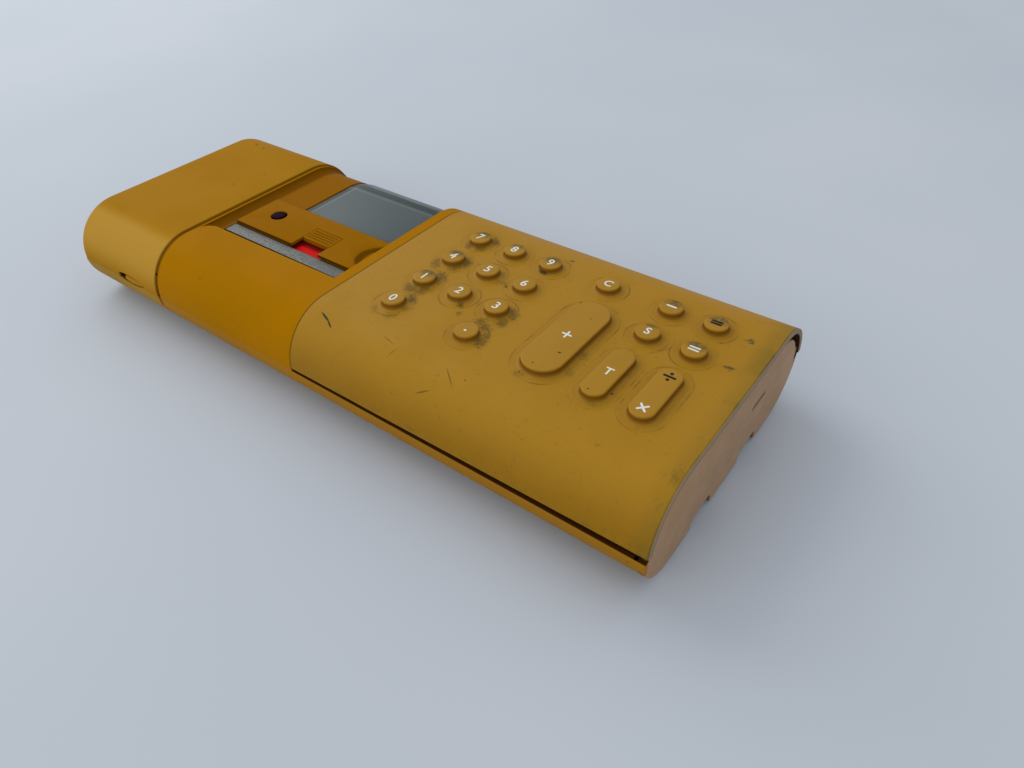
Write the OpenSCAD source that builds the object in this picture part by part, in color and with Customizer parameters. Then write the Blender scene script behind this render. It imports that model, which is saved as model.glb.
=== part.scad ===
// Printing calculator: a long pillow-shaped desk machine with a plug-on power pack at its left end,
// a printer section with a recessed control deck, and a keyboard under one soft rubber skin.
// Millimetres. Origin at the middle of the footprint on the table, X to the right end, Y away from
// the user, Z up.

/* [Body] */
// Overall length, power pack to right end
body_l = 308; // [300:1:330]
// Overall width, front to back
body_w = 121; // [117:1:130]
// Radius of the upper long edges, also the height of the upper half
top_r = 22.7; // [22:0.1:25]
// Radius of the lower long edges, also the height of the lower half
base_r = 19; // [18.5:0.1:22]
// Wall thickness of the moulded shells
wall = 2.2; // [1.8:0.1:2.4]
// Gap left along the seam between upper and lower shells
seam_gap = 0.4; // [0.2:0.1:0.6]
// Height of the rubber feet below the underside
foot_h = 1.5; // [1:0.1:3]
// Radius of a rubber foot
foot_r = 6; // [4:0.5:7]
// Depth that a foot is let into the underside
foot_sink = 0.8; // [0.5:0.1:1]
// Distance of the feet from the long sides
foot_side = 26.5; // [25:0.5:30]
// Distance of the feet from the ends of the tray
foot_inset = 20; // [18:1:26]

/* [Screws] */
// Distance of the case screws from the long sides
screw_side = 20.5; // [19.5:0.5:21.5]
// Distance of the case screws from the ends of their shells
screw_inset = 7; // [6.5:0.5:10]
// Radius of a screw head
screw_head_r = 2.75; // [2:0.05:3]
// Height of a screw head
screw_head_h = 2; // [1.5:0.1:3]
// Radius of a screw shank
screw_r = 1.5; // [1:0.1:1.6]
// Length of a screw below its head
screw_l = 20; // [16:1:22]
// Depth of the hole that a screw head sinks into
screw_sink = 8; // [6:0.5:10]
// Wall of a screw boss outside that hole
boss_wall = 1.5; // [1:0.1:2]

/* [Printer section] */
// Length of the printer section
housing_l = 89.4; // [86:0.2:96]
// Depth of the deck below the top of the case
deck_drop = 3; // [2.6:0.1:3.4]
// Distance of the front edge of the deck from the long centre line
deck_front = 27; // [26:0.5:30]
// Length of the hollow slope from the power pack down to the deck
cove_l = 8; // [6:0.5:9]
// Height of the step left at the top of that slope
cove_step = 0.4; // [0.2:0.1:0.8]
// Start of the slope from the left end of the section
cove_start = 0.8; // [0.6:0.1:1.5]
// Width of the rim left between deck and keyboard
rim_w = 5.1; // [4.8:0.1:6]
// Thickness of the control panel
panel_t = 1.2; // [0.8:0.1:1.6]
// Start of the control panel after the slope
panel_margin = 0.4; // [0.2:0.1:1]
// Depth of the control panel, front to back
panel_w = 24.2; // [23:0.1:26]
// Width of the channel for the metal strip in front of the panel
strip_w = 10.2; // [9:0.1:11]
// Thickness of the metal strip
strip_t = 0.8; // [0.5:0.1:1]
// Depth of the strip's channel below the deck
strip_sink = 0.9; // [0.6:0.1:1.1]
// Radius of the indicator lens
lens_r = 3.75; // [3:0.05:4.5]
// Height of the lens above the panel
lens_rise = 0.5; // [0.2:0.1:1]
// Distance of the lens from the left end of the panel
lens_x = 13.3; // [11:0.1:16]
// Distance of the lens from the front edge of the panel
lens_y = 13.7; // [12:0.1:15]
// Distance of the switch from the right end of the deck
switch_x = 30.3; // [28:0.1:34]
// Width of the switch slot
switch_w = 16.8; // [14:0.1:18]
// Length of the switch slot, open at the front edge of the panel
switch_l = 15.6; // [14:0.1:17]
// Length of the sliding switch button
slider_l = 8.4; // [7:0.1:9]
// Count of ribs on the switch button
slider_ribs = 4; // [3:1:6]
// Width of the rails that hold the button under the panel
slider_rail = 1.5; // [1:0.1:2]
// Width of the half-round finger hollow at the right end of the panel
scoop_w = 15; // [12:0.5:16]
// Depth of the finger hollow
scoop_d = 2; // [1.2:0.1:2.4]
// Distance of the finger hollow from the front edge of the panel
scoop_y = 13.8; // [12:0.1:15]

/* [Paper window] */
// Distance of the window from the left end of the section
window_x = 26; // [24:0.5:30]
// Thickness of the clear window
window_t = 1.6; // [1.2:0.1:1.8]
// Height of the window above the deck
window_rise = 0.5; // [0.2:0.1:0.8]
// Angle of the hinge above the horizontal, round the back edge
hinge_angle = 24; // [22:1:30]
// Radius of the hinge barrel along the back edge of the window
barrel_r = 1.7; // [1.5:0.1:2]
// Radius of the hinge stubs
stub_r = 0.9; // [0.7:0.05:1]
// Length of the hinge stubs
stub_l = 2; // [1.5:0.1:2.4]
// Width of the ledge under the front edge of the window
ledge_w = 2.5; // [2:0.1:3]

/* [Keyboard] */
// Thickness of the rubber skin
skin_t = 2; // [1.6:0.1:2.2]
// Height of the skin's lower edge above the seam
skin_lift = 1.6; // [1:0.1:2.4]
// Gap between the skin and the printer section
skin_joint = 0.2; // [0.1:0.05:0.5]
// Thickness of the stiff frame under the skin
frame_t = 2; // [1.6:0.1:2.2]
// Distance from the left edge of the skin to the first column of keys
key_margin = 26.9; // [22:0.1:30]
// Distance from the last column of keys to the right edge of the skin
key_end_margin = 23.5; // [20:0.1:26]
// Distance between rows of keys
key_pitch = 18; // [17:0.1:18.4]
// Shift of the rows towards the back
key_shift = 1; // [0:0.1:1.6]
// Diameter of a round key
key_d = 9; // [8:0.1:10]
// Width of the wide adding key
wide_key_w = 16; // [14:0.1:17]
// Height of the keys above the skin
key_h = 2.8; // [2.4:0.1:3.4]
// Travel of a key
key_travel = 2; // [1.6:0.1:2]
// Width of the flange that keeps a key under the frame
key_flange = 1.4; // [1:0.1:2]
// Thickness of that flange
key_flange_t = 1.2; // [0.8:0.1:1.4]
// Radius of the plunger under a key
plunger_r = 1.6; // [1.2:0.1:2]
// Length of that plunger
plunger_l = 2.2; // [2:0.1:2.4]
// Radius of a contact dome
dome_r = 3; // [2.5:0.1:3.5]
// Height of a contact dome
dome_h = 1.8; // [1.4:0.1:2]

/* [Right end] */
// Thickness of the end plate
plate_t = 2.6; // [2:0.1:3.2]
// Depth of the end plate inside the end of the skin
plate_inset = 0.8; // [0.4:0.1:1.2]
// Distance of the two notches from the long centre line
notch_y = 19; // [16:0.5:24]
// Width of a notch
notch_w = 15; // [12:0.5:18]
// Height of a notch
notch_h = 5; // [4:0.1:6]
// Radius of the notch corners
notch_r = 2.5; // [1.5:0.1:3]
// Length of the coin groove in the end plate
groove_l = 12; // [8:0.5:14]
// Width of the coin groove
groove_w = 1.4; // [1:0.1:2]
// Depth of the coin groove
groove_d = 0.7; // [0.4:0.1:1]
// Distance of the coin groove from the long centre line
groove_y = 21.6; // [18:0.1:24]
// Height of the coin groove above the seam
groove_z = 4; // [3:0.1:6]

/* [Boards and battery] */
// Thickness of the circuit boards
board_t = 1.6; // [1.2:0.1:1.8]
// Margin of the boards outside the outer keys
board_margin = 8; // [7:0.5:9]
// Height of the main board above the tray floor
main_board_h = 17.3; // [16.5:0.1:18]
// Radius of the posts that carry the boards
post_r = 2.6; // [2:0.1:3]
// Length of a logic chip
chip_l = 22; // [18:1:26]
// Width of a logic chip
chip_w = 9; // [7:0.5:12]
// Height of a logic chip
chip_h = 3.2; // [2.4:0.1:3.6]
// Count of logic chips
chip_count = 3; // [2:1:3]
// Count of battery cells
cell_count = 5; // [3:1:5]
// Radius of a battery cell
cell_r = 7.1; // [6.5:0.05:7.2]
// Length of a battery cell
cell_l = 49; // [44:0.5:50]
// Distance between battery cells
cell_pitch = 15.4; // [15:0.1:16]
// Thickness of the battery holder under and beside the cells
holder_t = 1.2; // [1:0.1:1.4]
// Height of the battery holder
holder_h = 6; // [5:0.1:7]

/* [Printer] */
// Thickness of the sheet metal of the printer frame
sheet_t = 1.5; // [1:0.1:2]
// Height of the pads under the printer frame
pad_h = 1.2; // [0.8:0.1:2]
// Distance of the printer frame from the left end of the section
printer_x = 16; // [15.5:0.1:17]
// Height of the platen above the printer frame's underside
platen_h = 20.1; // [20:0.1:20.4]
// Distance of the platen behind the long centre line
platen_y = 2; // [1.6:0.1:2.4]
// Radius of the rubber platen
platen_r = 6; // [5:0.1:6.4]
// Radius of the platen shaft
shaft_r = 2; // [1.6:0.1:2.4]
// Tooth size of the feed gears
gear_module = 0.65; // [0.64:0.005:0.66]
// Teeth on the platen gear
gear_teeth = 36; // [34:1:37]
// Teeth on the motor pinion
pinion_teeth = 12; // [12:1:13]
// Thickness of the feed gears
gear_t = 3; // [2:0.1:3.4]
// Height of the motor axis below the platen axis
motor_drop = 9.6; // [8.8:0.1:10]
// Radius of the feed motor
motor_r = 8; // [6.5:0.1:8.2]
// Length of the feed motor
motor_l = 30; // [24:1:36]
// Radius of the motor shaft
motor_shaft_r = 1; // [0.8:0.05:1.2]
// Length of the motor shaft inside the motor
motor_shaft_l = 8; // [6:0.5:10]
// Depth of the print head, front to back
head_w = 8; // [6:0.5:9]
// Height of the print head
head_h = 8; // [6:0.5:9]
// Reach of the printing edge out of the head
head_edge = 0.7; // [0.5:0.1:1]
// Distance of the paper roll in front of the platen
roll_y = 36; // [35:0.5:37]
// Height of the paper roll above the printer frame's underside
roll_z = 15.6; // [15:0.1:16]
// Outer radius of the paper roll
roll_r = 12.5; // [8:0.1:12.8]
// Radius of the roll spindle
spindle_r = 3; // [2:0.1:3.4]
// Height of the paper tray above the printer frame's underside
tray_h = 28.1; // [27.8:0.1:28.4]
// Thickness of the paper tray
tray_t = 1.2; // [0.8:0.1:1.4]
// Angle above the horizontal where the paper tray ends, round the back
tray_angle = 38; // [35:1:60]

/* [Power pack] */
// Length of the power pack
pack_l = 60; // [58:0.5:70]
// Gap between the power pack and the printer section
dock_gap = 0.6; // [0.4:0.1:1]
// Length of the slot for the release latch
latch_slot_l = 20; // [18:0.5:24]
// Height of that slot
latch_slot_h = 6.4; // [5.5:0.1:7]
// Distance of the slot's middle from the docking face
latch_x = 20.4; // [18:0.1:24]
// Height of the slot's middle above the seam
latch_z = 0.7; // [0.4:0.1:1]
// Travel of the release latch
latch_travel = 4.6; // [4:0.1:5]
// Thickness of the latch tongue
tongue_t = 3; // [2.5:0.1:3.4]
// Reach of the latch tongue into the printer section
tongue_reach = 3.6; // [3.2:0.1:3.8]
// Room left at each end of the transformer's winding
coil_gap = 2.6; // [2:0.1:4]
// Width of the transformer core
core_w = 48; // [44:0.5:50]
// Height of the transformer core
core_h = 32; // [28:0.5:34]
// Width of the core's outer limbs and yokes
limb_w = 6; // [5:0.1:7]
// Width of the core's middle limb
mid_limb_w = 13; // [11:0.1:14]
// Reach of the winding beyond the core stack
coil_reach = 5; // [4:0.1:5.4]
// Gap between the transformer and the charger board
charger_gap = 4.4; // [3:0.1:8]
// Distance of the charger board from the back
charger_side = 14.1; // [12:0.1:16]
// Height of the charger board above the pack floor
charger_h = 5.4; // [5:0.1:7]
// Radius of the charger capacitor
capacitor_r = 6; // [4:0.1:6.4]
// Length of the charger capacitor
capacitor_l = 22; // [16:0.5:26]
// Width of the docking connector
dock_w = 22; // [20:0.5:24]
// Height of the docking connector's nose
dock_h = 9.6; // [8:0.1:11]
// Height of the docking connector above the tray floor
dock_z = 3.6; // [3:0.1:4]
// Length of the docking connector behind the wall
dock_l = 7.6; // [7:0.1:8]
// Radius of a docking pin
pin_r = 1; // [0.8:0.05:1.2]
// Reach of a docking pin out of the pack
pin_l = 6.8; // [6:0.1:7]
// Count of docking pins
pin_count = 4; // [3:1:4]
// Width of the mains inlet's mouth
inlet_w = 17; // [15:0.1:18]
// Height of the mains inlet's mouth
inlet_h = 9; // [8:0.1:10]
// Depth of the mains inlet behind the wall
inlet_d = 10; // [9.6:0.1:11]
// Height of the mains inlet's mouth above the pack floor
inlet_z = 4; // [3.6:0.1:5]
// Radius of an inlet pin
inlet_pin_r = 1.2; // [1:0.05:1.4]
// Length of an inlet pin
inlet_pin_l = 5; // [4:0.1:5.2]

/* [Clearances] */
// Gap between pieces that are laid together
lay_gap = 0.1; // [0.05:0.01:0.15]
// Gap round a piece that slides or is pulled out
slide_gap = 0.3; // [0.2:0.05:0.4]
// Radial clearance of a shaft or pin that turns
run_gap = 0.05; // [0.03:0.01:0.1]
// Clearance at the pitch line between meshing teeth
backlash = 0.16; // [0.1:0.01:0.24]

/* [Hidden] */
$fn = 72;
over = 1;

// Colours
amber = "#c08a1e";
skin_amber = "#b8923c";
base_amber = "#c08c3c";
tan_plastic = "#a98a72";
metal_grey = "#a5a8aa";
dark_grey = "#3a3a3c";
board_green = "#2f5d3a";
rubber_black = "#1d1d1f";

// Heights
floor_z = foot_h + wall;
seam_z = foot_h + base_r;
base_top = seam_z - seam_gap;
top_z = seam_z + top_r;
deck_z = top_z - deck_drop;
deck_under = deck_z - wall;
panel_z = deck_z + panel_t;
channel_z = deck_z - strip_sink;
skin_edge_z = seam_z + skin_lift;

// Centres of the long edges' radii, from the long centre line
top_y = body_w / 2 - top_r;
low_y = body_w / 2 - base_r;

// Stations along the length
pack_x0 = -body_l / 2;
housing_x0 = pack_x0 + pack_l;
pack_x1 = housing_x0 - dock_gap;
housing_x1 = housing_x0 + housing_l;
cove_x0 = housing_x0 + cove_start;
cove_x1 = housing_x0 + cove_l;
rim_x0 = housing_x1 - rim_w;
skin_x0 = housing_x1 + skin_joint;
skin_x1 = body_l / 2;
plate_x1 = skin_x1 - plate_inset;
plate_x0 = plate_x1 - plate_t;
tray_x1 = plate_x0 - seam_gap;

// Case screws and feet
screw_y = body_w / 2 - screw_side;
foot_y = body_w / 2 - foot_side;
screw_hole_r = screw_r + slide_gap / 2;
screw_pilot_r = screw_r + lay_gap;
head_hole_r = screw_head_r + slide_gap;
boss_r = head_hole_r + boss_wall;
screw_seat = foot_h + screw_sink;
screw_top = screw_seat + screw_l;
housing_screw_x = [housing_x0 + screw_inset];
keyboard_screw_x = [skin_x0 + screw_inset + boss_r, tray_x1 - screw_inset];
tray_foot_x = [housing_x0 + foot_inset, tray_x1 - foot_inset];
pack_foot_x = [pack_x0 + foot_inset];

// Control deck
panel_x0 = cove_x1 + panel_margin;
panel_x1 = rim_x0 - slide_gap;
panel_y0 = -deck_front + strip_w;
panel_y1 = panel_y0 + panel_w;
lens_at = [panel_x0 + lens_x, panel_y0 + lens_y];
lens_flange = 1;
lens_flange_r = lens_r + lens_flange;
lens_dome_r = 2.5 * lens_r;
lens_stem = 5;
switch_mid = rim_x0 - switch_x;
switch_y1 = panel_y0 + switch_l;
switch_body_h = 4.5;
switch_body_lap = 3;
flag_t = 0.8;
slider_z = deck_under + flag_t + slide_gap;
slider_y1 = switch_y1 - slide_gap;
rib_pitch = slider_l / (slider_ribs + 1);
rib_groove = 0.5;
scoop_r = (pow(scoop_w / 2, 2) + pow(scoop_d, 2)) / (2 * scoop_d);
scoop_at = [rim_x0, panel_y0 + scoop_y, panel_z - scoop_d + scoop_r];

// Bend in the slope, where it eases off towards the deck
cove_bend_x = cove_x0 + (cove_x1 - cove_x0) * 0.45;
cove_bend = deck_drop * 0.3;

// Paper window, laid round the back edge at a constant distance from its axis
deck_arc = top_r - deck_drop;
window_arc = deck_arc + window_rise;
window_in_arc = window_arc - window_t;
window_x0 = housing_x0 + window_x;
window_x1 = rim_x0 - slide_gap;
window_y0 = panel_y1 + slide_gap;
hinge_arc = window_arc - window_t / 2;
hinge_at = [top_y + hinge_arc * cos(hinge_angle), seam_z + hinge_arc * sin(hinge_angle)];
hinge_room = barrel_r + 2 * slide_gap;
mouth_angle = hinge_angle - asin(hinge_room / hinge_arc);
ear_r = stub_r + boss_wall;
ear_l = stub_l + wall / 2;

// Keys: name, column, first row, last row, width
KEYS = [
    ["key_7", 0, 3, 3, key_d],
    ["key_8", 1, 3, 3, key_d],
    ["key_9", 2, 3, 3, key_d],
    ["key_4", 0, 2, 2, key_d],
    ["key_5", 1, 2, 2, key_d],
    ["key_6", 2, 2, 2, key_d],
    ["key_1", 0, 1, 1, key_d],
    ["key_2", 1, 1, 1, key_d],
    ["key_3", 2, 1, 1, key_d],
    ["key_0", 0, 0, 0, key_d],
    ["key_point", 2, 0, 0, key_d],
    ["key_clear", 3.5, 3, 3, key_d],
    ["key_minus", 5, 3, 3, key_d],
    ["key_double_bar", 6, 3, 3, key_d],
    ["key_subtotal", 5, 2, 2, key_d],
    ["key_equals", 6, 2, 2, key_d],
    ["key_plus", 3.75, 0, 2, wide_key_w],
    ["key_total", 5, 0, 1, key_d],
    ["key_times_divide", 6, 0, 1, key_d]
];
key_rows = 4;
key_cols = 7;
col_pitch = (skin_x1 - skin_x0 - key_margin - key_end_margin) / (key_cols - 1);
function col_x(c) = skin_x0 + key_margin + c * col_pitch;
function row_y(r) = (r - (key_rows - 1) / 2) * key_pitch + key_shift;
function key_low(k) = row_y(k[2]) + (k[4] - key_d) / 2;
function key_high(k) = row_y(k[3]) - (k[4] - key_d) / 2;
frame_inset = skin_t + lay_gap;
frame_under = top_z - frame_inset - frame_t;
key_flange_top = frame_under - slide_gap / 2;
key_flange_low = key_flange_top - key_flange_t;
plunger_low = key_flange_low - plunger_l;
dome_top = plunger_low - key_travel - slide_gap / 2;
key_board_top = dome_top - dome_h;
key_board_low = key_board_top - board_t;
frame_x0 = skin_x0 + slide_gap;
frame_x1 = plate_x0 - slide_gap;
board_x0 = col_x(0) - board_margin;
board_x1 = col_x(key_cols - 1) + board_margin;
board_y = row_y(key_rows - 1) - key_shift + board_margin;
key_post_at = [for (c = [0.5, key_cols - 1.5]) for (r = [0.5, key_rows - 1.5]) [col_x(c), row_y(r)]];

// Main board and battery
main_board_z = floor_z + main_board_h;
main_post_at = [
    for (x = [board_x0 + post_r, board_x1 - post_r])
        for (s = [-1, 1]) [x, s * (board_y - post_r)]
];
battery_x = (board_x0 + board_x1) / 2;
cell_z = floor_z + holder_t + lay_gap + cell_r;
holder_y = cell_l / 2 + lay_gap + holder_t;
function cell_x(i) = battery_x + (i - (cell_count - 1) / 2) * cell_pitch;

// Printer
printer_z = floor_z + pad_h;
printer_x0 = housing_x0 + printer_x;
printer_x1 = rim_x0;
sheet_x0 = printer_x0 + sheet_t;
sheet_x1 = printer_x1 - sheet_t;
platen_z = printer_z + platen_h;
gear_r = gear_module * gear_teeth / 2;
pinion_r = gear_module * pinion_teeth / 2;
gear_centres = gear_r + pinion_r;
motor_z = platen_z - motor_drop;
motor_y = platen_y + sqrt(pow(gear_centres, 2) - pow(motor_drop, 2));
mesh_angle = atan2(motor_z - platen_z, motor_y - platen_y);
gear_x1 = printer_x0 - sheet_t;
gear_x0 = gear_x1 - gear_t;
head_y1 = platen_y - platen_r - slide_gap - head_edge;
spindle_y = platen_y - roll_y;
spindle_z = printer_z + roll_z;
tray_z = printer_z + tray_h;
tray_y0 = window_y0;
sheet_margin = 2;
frame_back = top_y - sheet_margin;
frame_front = spindle_y - 2 * spindle_r - sheet_margin;
spindle_top = spindle_z + spindle_r + sheet_t;
head_top = platen_z + head_h / 2 + sheet_margin;
roll_margin = 6;
pad_at = [
    for (x = [sheet_x0 + roll_margin, sheet_x1 - roll_margin])
        for (y = [frame_front + roll_margin, frame_back - roll_margin]) [x, y]
];

// Power pack
latch_mid = pack_x1 - latch_x;
latch_mid_z = seam_z + latch_z;
tab_l = latch_slot_l - latch_travel - 2 * slide_gap;
tab_h = latch_slot_h - 2 * slide_gap;
tab_x1 = latch_mid + latch_slot_l / 2 - slide_gap;
tab_mid = tab_x1 - tab_l / 2;
tab_y0 = -body_w / 2 + slide_gap;
tongue_y1 = -body_w / 2 + 3 * wall;
tongue_y0 = tongue_y1 - tongue_t;
tongue_z0 = latch_mid_z + slide_gap;
tongue_x1 = housing_x0 + tongue_reach;
coil_x0 = pack_x0 + 2 * wall + inlet_d + coil_gap;
coil_x1 = pack_x1 - wall - dock_l - coil_gap;
core_mid = (coil_x0 + coil_x1) / 2;
core_l = coil_x1 - coil_x0 - 2 * coil_reach;
coil_w = core_w - 2 * limb_w - 2 * lay_gap;
charger_x0 = pack_x0 + foot_inset;
charger_x1 = pack_x1 - 3 * dock_l / 2;
charger_mid = (charger_x0 + charger_x1) / 2;
charger_y0 = core_w / 2 + charger_gap;
charger_w = body_w / 2 - charger_side - charger_y0;
charger_z = floor_z + charger_h;
dock_low = floor_z + dock_z;
dock_mid_z = dock_low + dock_h / 2;
pin_pitch = dock_w / (pin_count + 0.5);
pin_room = pin_l - dock_gap + slide_gap;
inlet_low = floor_z + inlet_z;
inlet_back = pack_x0 + wall + inlet_d;
inlet_pin_y = inlet_w / 5;

// Extrudes a drawing of the cross-section, Y across and Z up, between two stations
module along_x(x0, x1) {
    translate([x0, 0, 0])
        rotate([90, 0, 90])
            linear_extrude(x1 - x0)
                children();
}

// A round bar along the length
module bar_x(x0, x1, r) {
    translate([x0, 0, 0])
        rotate([0, 90, 0])
            cylinder(h = x1 - x0, r = r);
}

// A box from its lowest to its highest corner
module block(a, b) {
    translate(a)
        cube(b - a);
}

// Upper half of the cross-section, drawn in from the outside, opened downwards by below
module upper_section(inset = 0, below = 0) {
    intersection() {
        translate([-body_w, seam_z - below])
            square([2 * body_w, 2 * top_r]);
        union() {
            translate([-top_y, seam_z - below])
                square([2 * top_y, top_r - inset + below]);
            for (s = [-1, 1])
                translate([s * top_y, seam_z])
                    circle(r = top_r - inset);
        }
    }
}

// Lower half of the cross-section, drawn in from the outside, up to a height
module lower_section(inset = 0, up_to = base_top) {
    intersection() {
        translate([-body_w, up_to - 2 * base_r])
            square([2 * body_w, 2 * base_r]);
        union() {
            translate([-low_y, foot_h + inset])
                square([2 * low_y, up_to - foot_h - inset]);
            for (s = [-1, 1])
                translate([s * low_y, seam_z])
                    circle(r = base_r - inset);
        }
    }
}

// Sweeps a drawing, length across and distance from the back edge's axis up, over the flat top
module over_top(y0) {
    translate([0, top_y, seam_z])
        rotate([90, 0, 0])
            linear_extrude(top_y - y0)
                children();
}

// Turns the same drawing round the back edge, from the top down to an angle above the horizontal
module round_back(low_angle) {
    translate([0, top_y, seam_z])
        rotate([90, 0, 90])
            rotate([0, 0, low_angle])
                rotate_extrude(angle = 90 - low_angle)
                    mirror([1, -1, 0])
                        children();
}

// A pill of round ends along the first drawing axis
module pill(l, w) {
    square([l - w, w], center = true);
    for (s = [-1, 1])
        translate([s * (l - w) / 2, 0])
            circle(d = w);
}

// Places children at every case screw of the given stations
module at_screws(xs) {
    for (x = xs)
        for (s = [-1, 1])
            translate([x, s * screw_y, 0])
                children();
}

// Places children at every foot of the given stations
module at_feet(xs) {
    for (x = xs)
        for (s = [-1, 1])
            translate([x, s * foot_y, 0])
                children();
}

// A rubber foot, let into the underside; grow widens it into its seat
module foot(grow = 0) {
    cylinder(h = foot_h + foot_sink, r = foot_r + grow);
}

// Hole for a screw pilot in an upper boss
module pilot() {
    translate([0, 0, seam_z - over])
        cylinder(h = screw_top - seam_z + 2 * over, r = screw_pilot_r);
}

// Lower shell: floor, long sides and the docking wall at its left end
module base_tray() {
    color(base_amber)
        difference() {
            union() {
                difference() {
                    along_x(housing_x0, tray_x1)
                        lower_section();
                    along_x(housing_x0 + wall, tray_x1 + over)
                        lower_section(wall, seam_z + over);
                }
                at_screws(concat(housing_screw_x, keyboard_screw_x))
                    translate([0, 0, foot_h])
                        cylinder(h = base_r, r = boss_r);
                for (p = main_post_at)
                    translate([p.x, p.y, foot_h])
                        cylinder(h = main_board_z - foot_h, r = post_r);
                for (p = pad_at)
                    translate([p.x, p.y, foot_h])
                        cylinder(h = printer_z - foot_h, r = post_r);
            }
            at_screws(concat(housing_screw_x, keyboard_screw_x)) {
                translate([0, 0, foot_h - over])
                    cylinder(h = screw_sink + over, r = head_hole_r);
                cylinder(h = top_z, r = screw_hole_r);
            }
            at_feet(tray_foot_x)
                foot(lay_gap);
            block([housing_x0 - over, -dock_w / 2 - slide_gap, dock_low - slide_gap],
                  [housing_x0 + wall + over, dock_w / 2 + slide_gap, dock_low + dock_h + slide_gap]);
        }
}

// Drawing of the hollow slope at the left end of the deck, length across, distance from the axis up
module deck_slope() {
    polygon([
        [cove_x0, top_r + over], [cove_x0, top_r - cove_step], [cove_bend_x, deck_arc + cove_bend],
        [cove_x1, deck_arc], [cove_x1, top_r + over]
    ]);
}

// Hollow of the printer housing: up to the deck, and up to the outer wall in front of it
module housing_hollow(grow = 0) {
    upper_section(deck_drop + wall - grow, over);
    intersection() {
        upper_section(wall - grow, over);
        translate([-body_w, 0])
            square([body_w - deck_front - wall + grow, 2 * top_z]);
    }
}

// Part of the cross-section behind y0 and above an angle round the back edge
module back_part(y0, low_angle) {
    reach = 3 * top_r;
    polygon([
        [y0, seam_z], [top_y, seam_z],
        [top_y + reach * cos(low_angle), seam_z + reach * sin(low_angle)],
        [top_y + reach, 2 * top_z], [y0, 2 * top_z]
    ]);
}

// Layer of the upper cross-section between two insets
module upper_layer(outer, inner) {
    difference() {
        upper_section(outer, 0);
        upper_section(inner, over);
    }
}

// Upper shell of the printer section, with the deck, its openings and the hinge ears
module printer_housing() {
    color(amber)
        difference() {
            union() {
                difference() {
                    along_x(housing_x0, housing_x1)
                        upper_section();
                    over_top(-deck_front)
                        deck_slope();
                    round_back(0)
                        deck_slope();
                    along_x(cove_x1, rim_x0)
                        intersection() {
                            upper_layer(-over, deck_drop);
                            translate([-deck_front, 0])
                                square(2 * body_w);
                        }
                    along_x(housing_x0 + wall, housing_x1 - wall)
                        housing_hollow();
                    along_x(window_x0 - slide_gap, rim_x0)
                        intersection() {
                            upper_layer(-over, deck_drop + 2 * wall);
                            back_part(window_y0 - slide_gap, mouth_angle);
                        }
                }
                intersection() {
                    at_screws(housing_screw_x)
                        translate([0, 0, seam_z])
                            cylinder(h = top_r, r = boss_r);
                    along_x(housing_x0, housing_x1)
                        housing_hollow(wall / 2);
                }
                block([window_x0 - over, window_y0 - ledge_w, seam_z + window_in_arc - slide_gap - wall],
                      [rim_x0 + over, window_y0 + ledge_w, seam_z + window_in_arc - slide_gap]);
                translate([0, hinge_at.x, hinge_at.y]) {
                    bar_x(window_x0 - slide_gap - ear_l, window_x0 - slide_gap, ear_r);
                    bar_x(rim_x0, rim_x0 + ear_l, ear_r);
                }
            }
            translate([0, hinge_at.x, hinge_at.y])
                bar_x(window_x0 - slide_gap - stub_l, rim_x0 + stub_l, stub_r + run_gap);
            at_screws(housing_screw_x)
                pilot();
            block([cove_x1, -deck_front, channel_z], [rim_x0, panel_y0, deck_z + over]);
            block([switch_mid - switch_w / 2 - slider_rail - slide_gap, panel_y0, deck_under - over],
                  [switch_mid + switch_w / 2 + slider_rail + slide_gap, switch_y1, deck_z + over]);
            translate([lens_at.x, lens_at.y, deck_under - over])
                cylinder(h = 3 * wall, r = lens_flange_r + lay_gap);
            scoop();
            block([housing_x0 - over, tongue_y0 - slide_gap, tongue_z0 - slide_gap],
                  [housing_x0 + wall + over, tongue_y1 + slide_gap, tongue_z0 + tongue_t + slide_gap]);
        }
}

// Ball that hollows out the finger grip, left of the rim
module scoop() {
    intersection() {
        translate(scoop_at)
            sphere(r = scoop_r);
        block([rim_x0 - scoop_w, panel_y0, deck_under], [rim_x0, panel_y1, top_z]);
    }
}

// Outline of one key, seen from above, widened by grow
module key_outline(k, grow = 0) {
    translate([col_x(k[1]), key_low(k)])
        circle(d = k[4] + 2 * grow);
    if (k[3] > k[2]) {
        translate([col_x(k[1]), key_high(k)])
            circle(d = k[4] + 2 * grow);
        translate([col_x(k[1]) - k[4] / 2 - grow, key_low(k)])
            square([k[4] + 2 * grow, key_high(k) - key_low(k)]);
    }
}

// Holes for all the keys, widened by grow
module key_holes(grow) {
    for (k = KEYS)
        translate([0, 0, frame_under - over])
            linear_extrude(top_z - frame_under + 2 * over)
                key_outline(k, grow);
}

// Stiff frame that carries the skin, guides the keys and holds the key board
module keyboard_frame() {
    color(amber)
        difference() {
            union() {
                difference() {
                    along_x(frame_x0, frame_x1)
                        upper_section(frame_inset);
                    along_x(frame_x0 - over, frame_x1 + over)
                        upper_section(frame_inset + frame_t, over);
                }
                intersection() {
                    at_screws(keyboard_screw_x)
                        translate([0, 0, seam_z])
                            cylinder(h = top_r, r = boss_r);
                    along_x(frame_x0, frame_x1)
                        upper_section(frame_inset + frame_t / 2);
                }
                for (p = key_post_at)
                    translate([p.x, p.y, key_board_top])
                        cylinder(h = frame_under - key_board_top + over, r = post_r);
            }
            key_holes(slide_gap);
            at_screws(keyboard_screw_x)
                pilot();
        }
}

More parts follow.
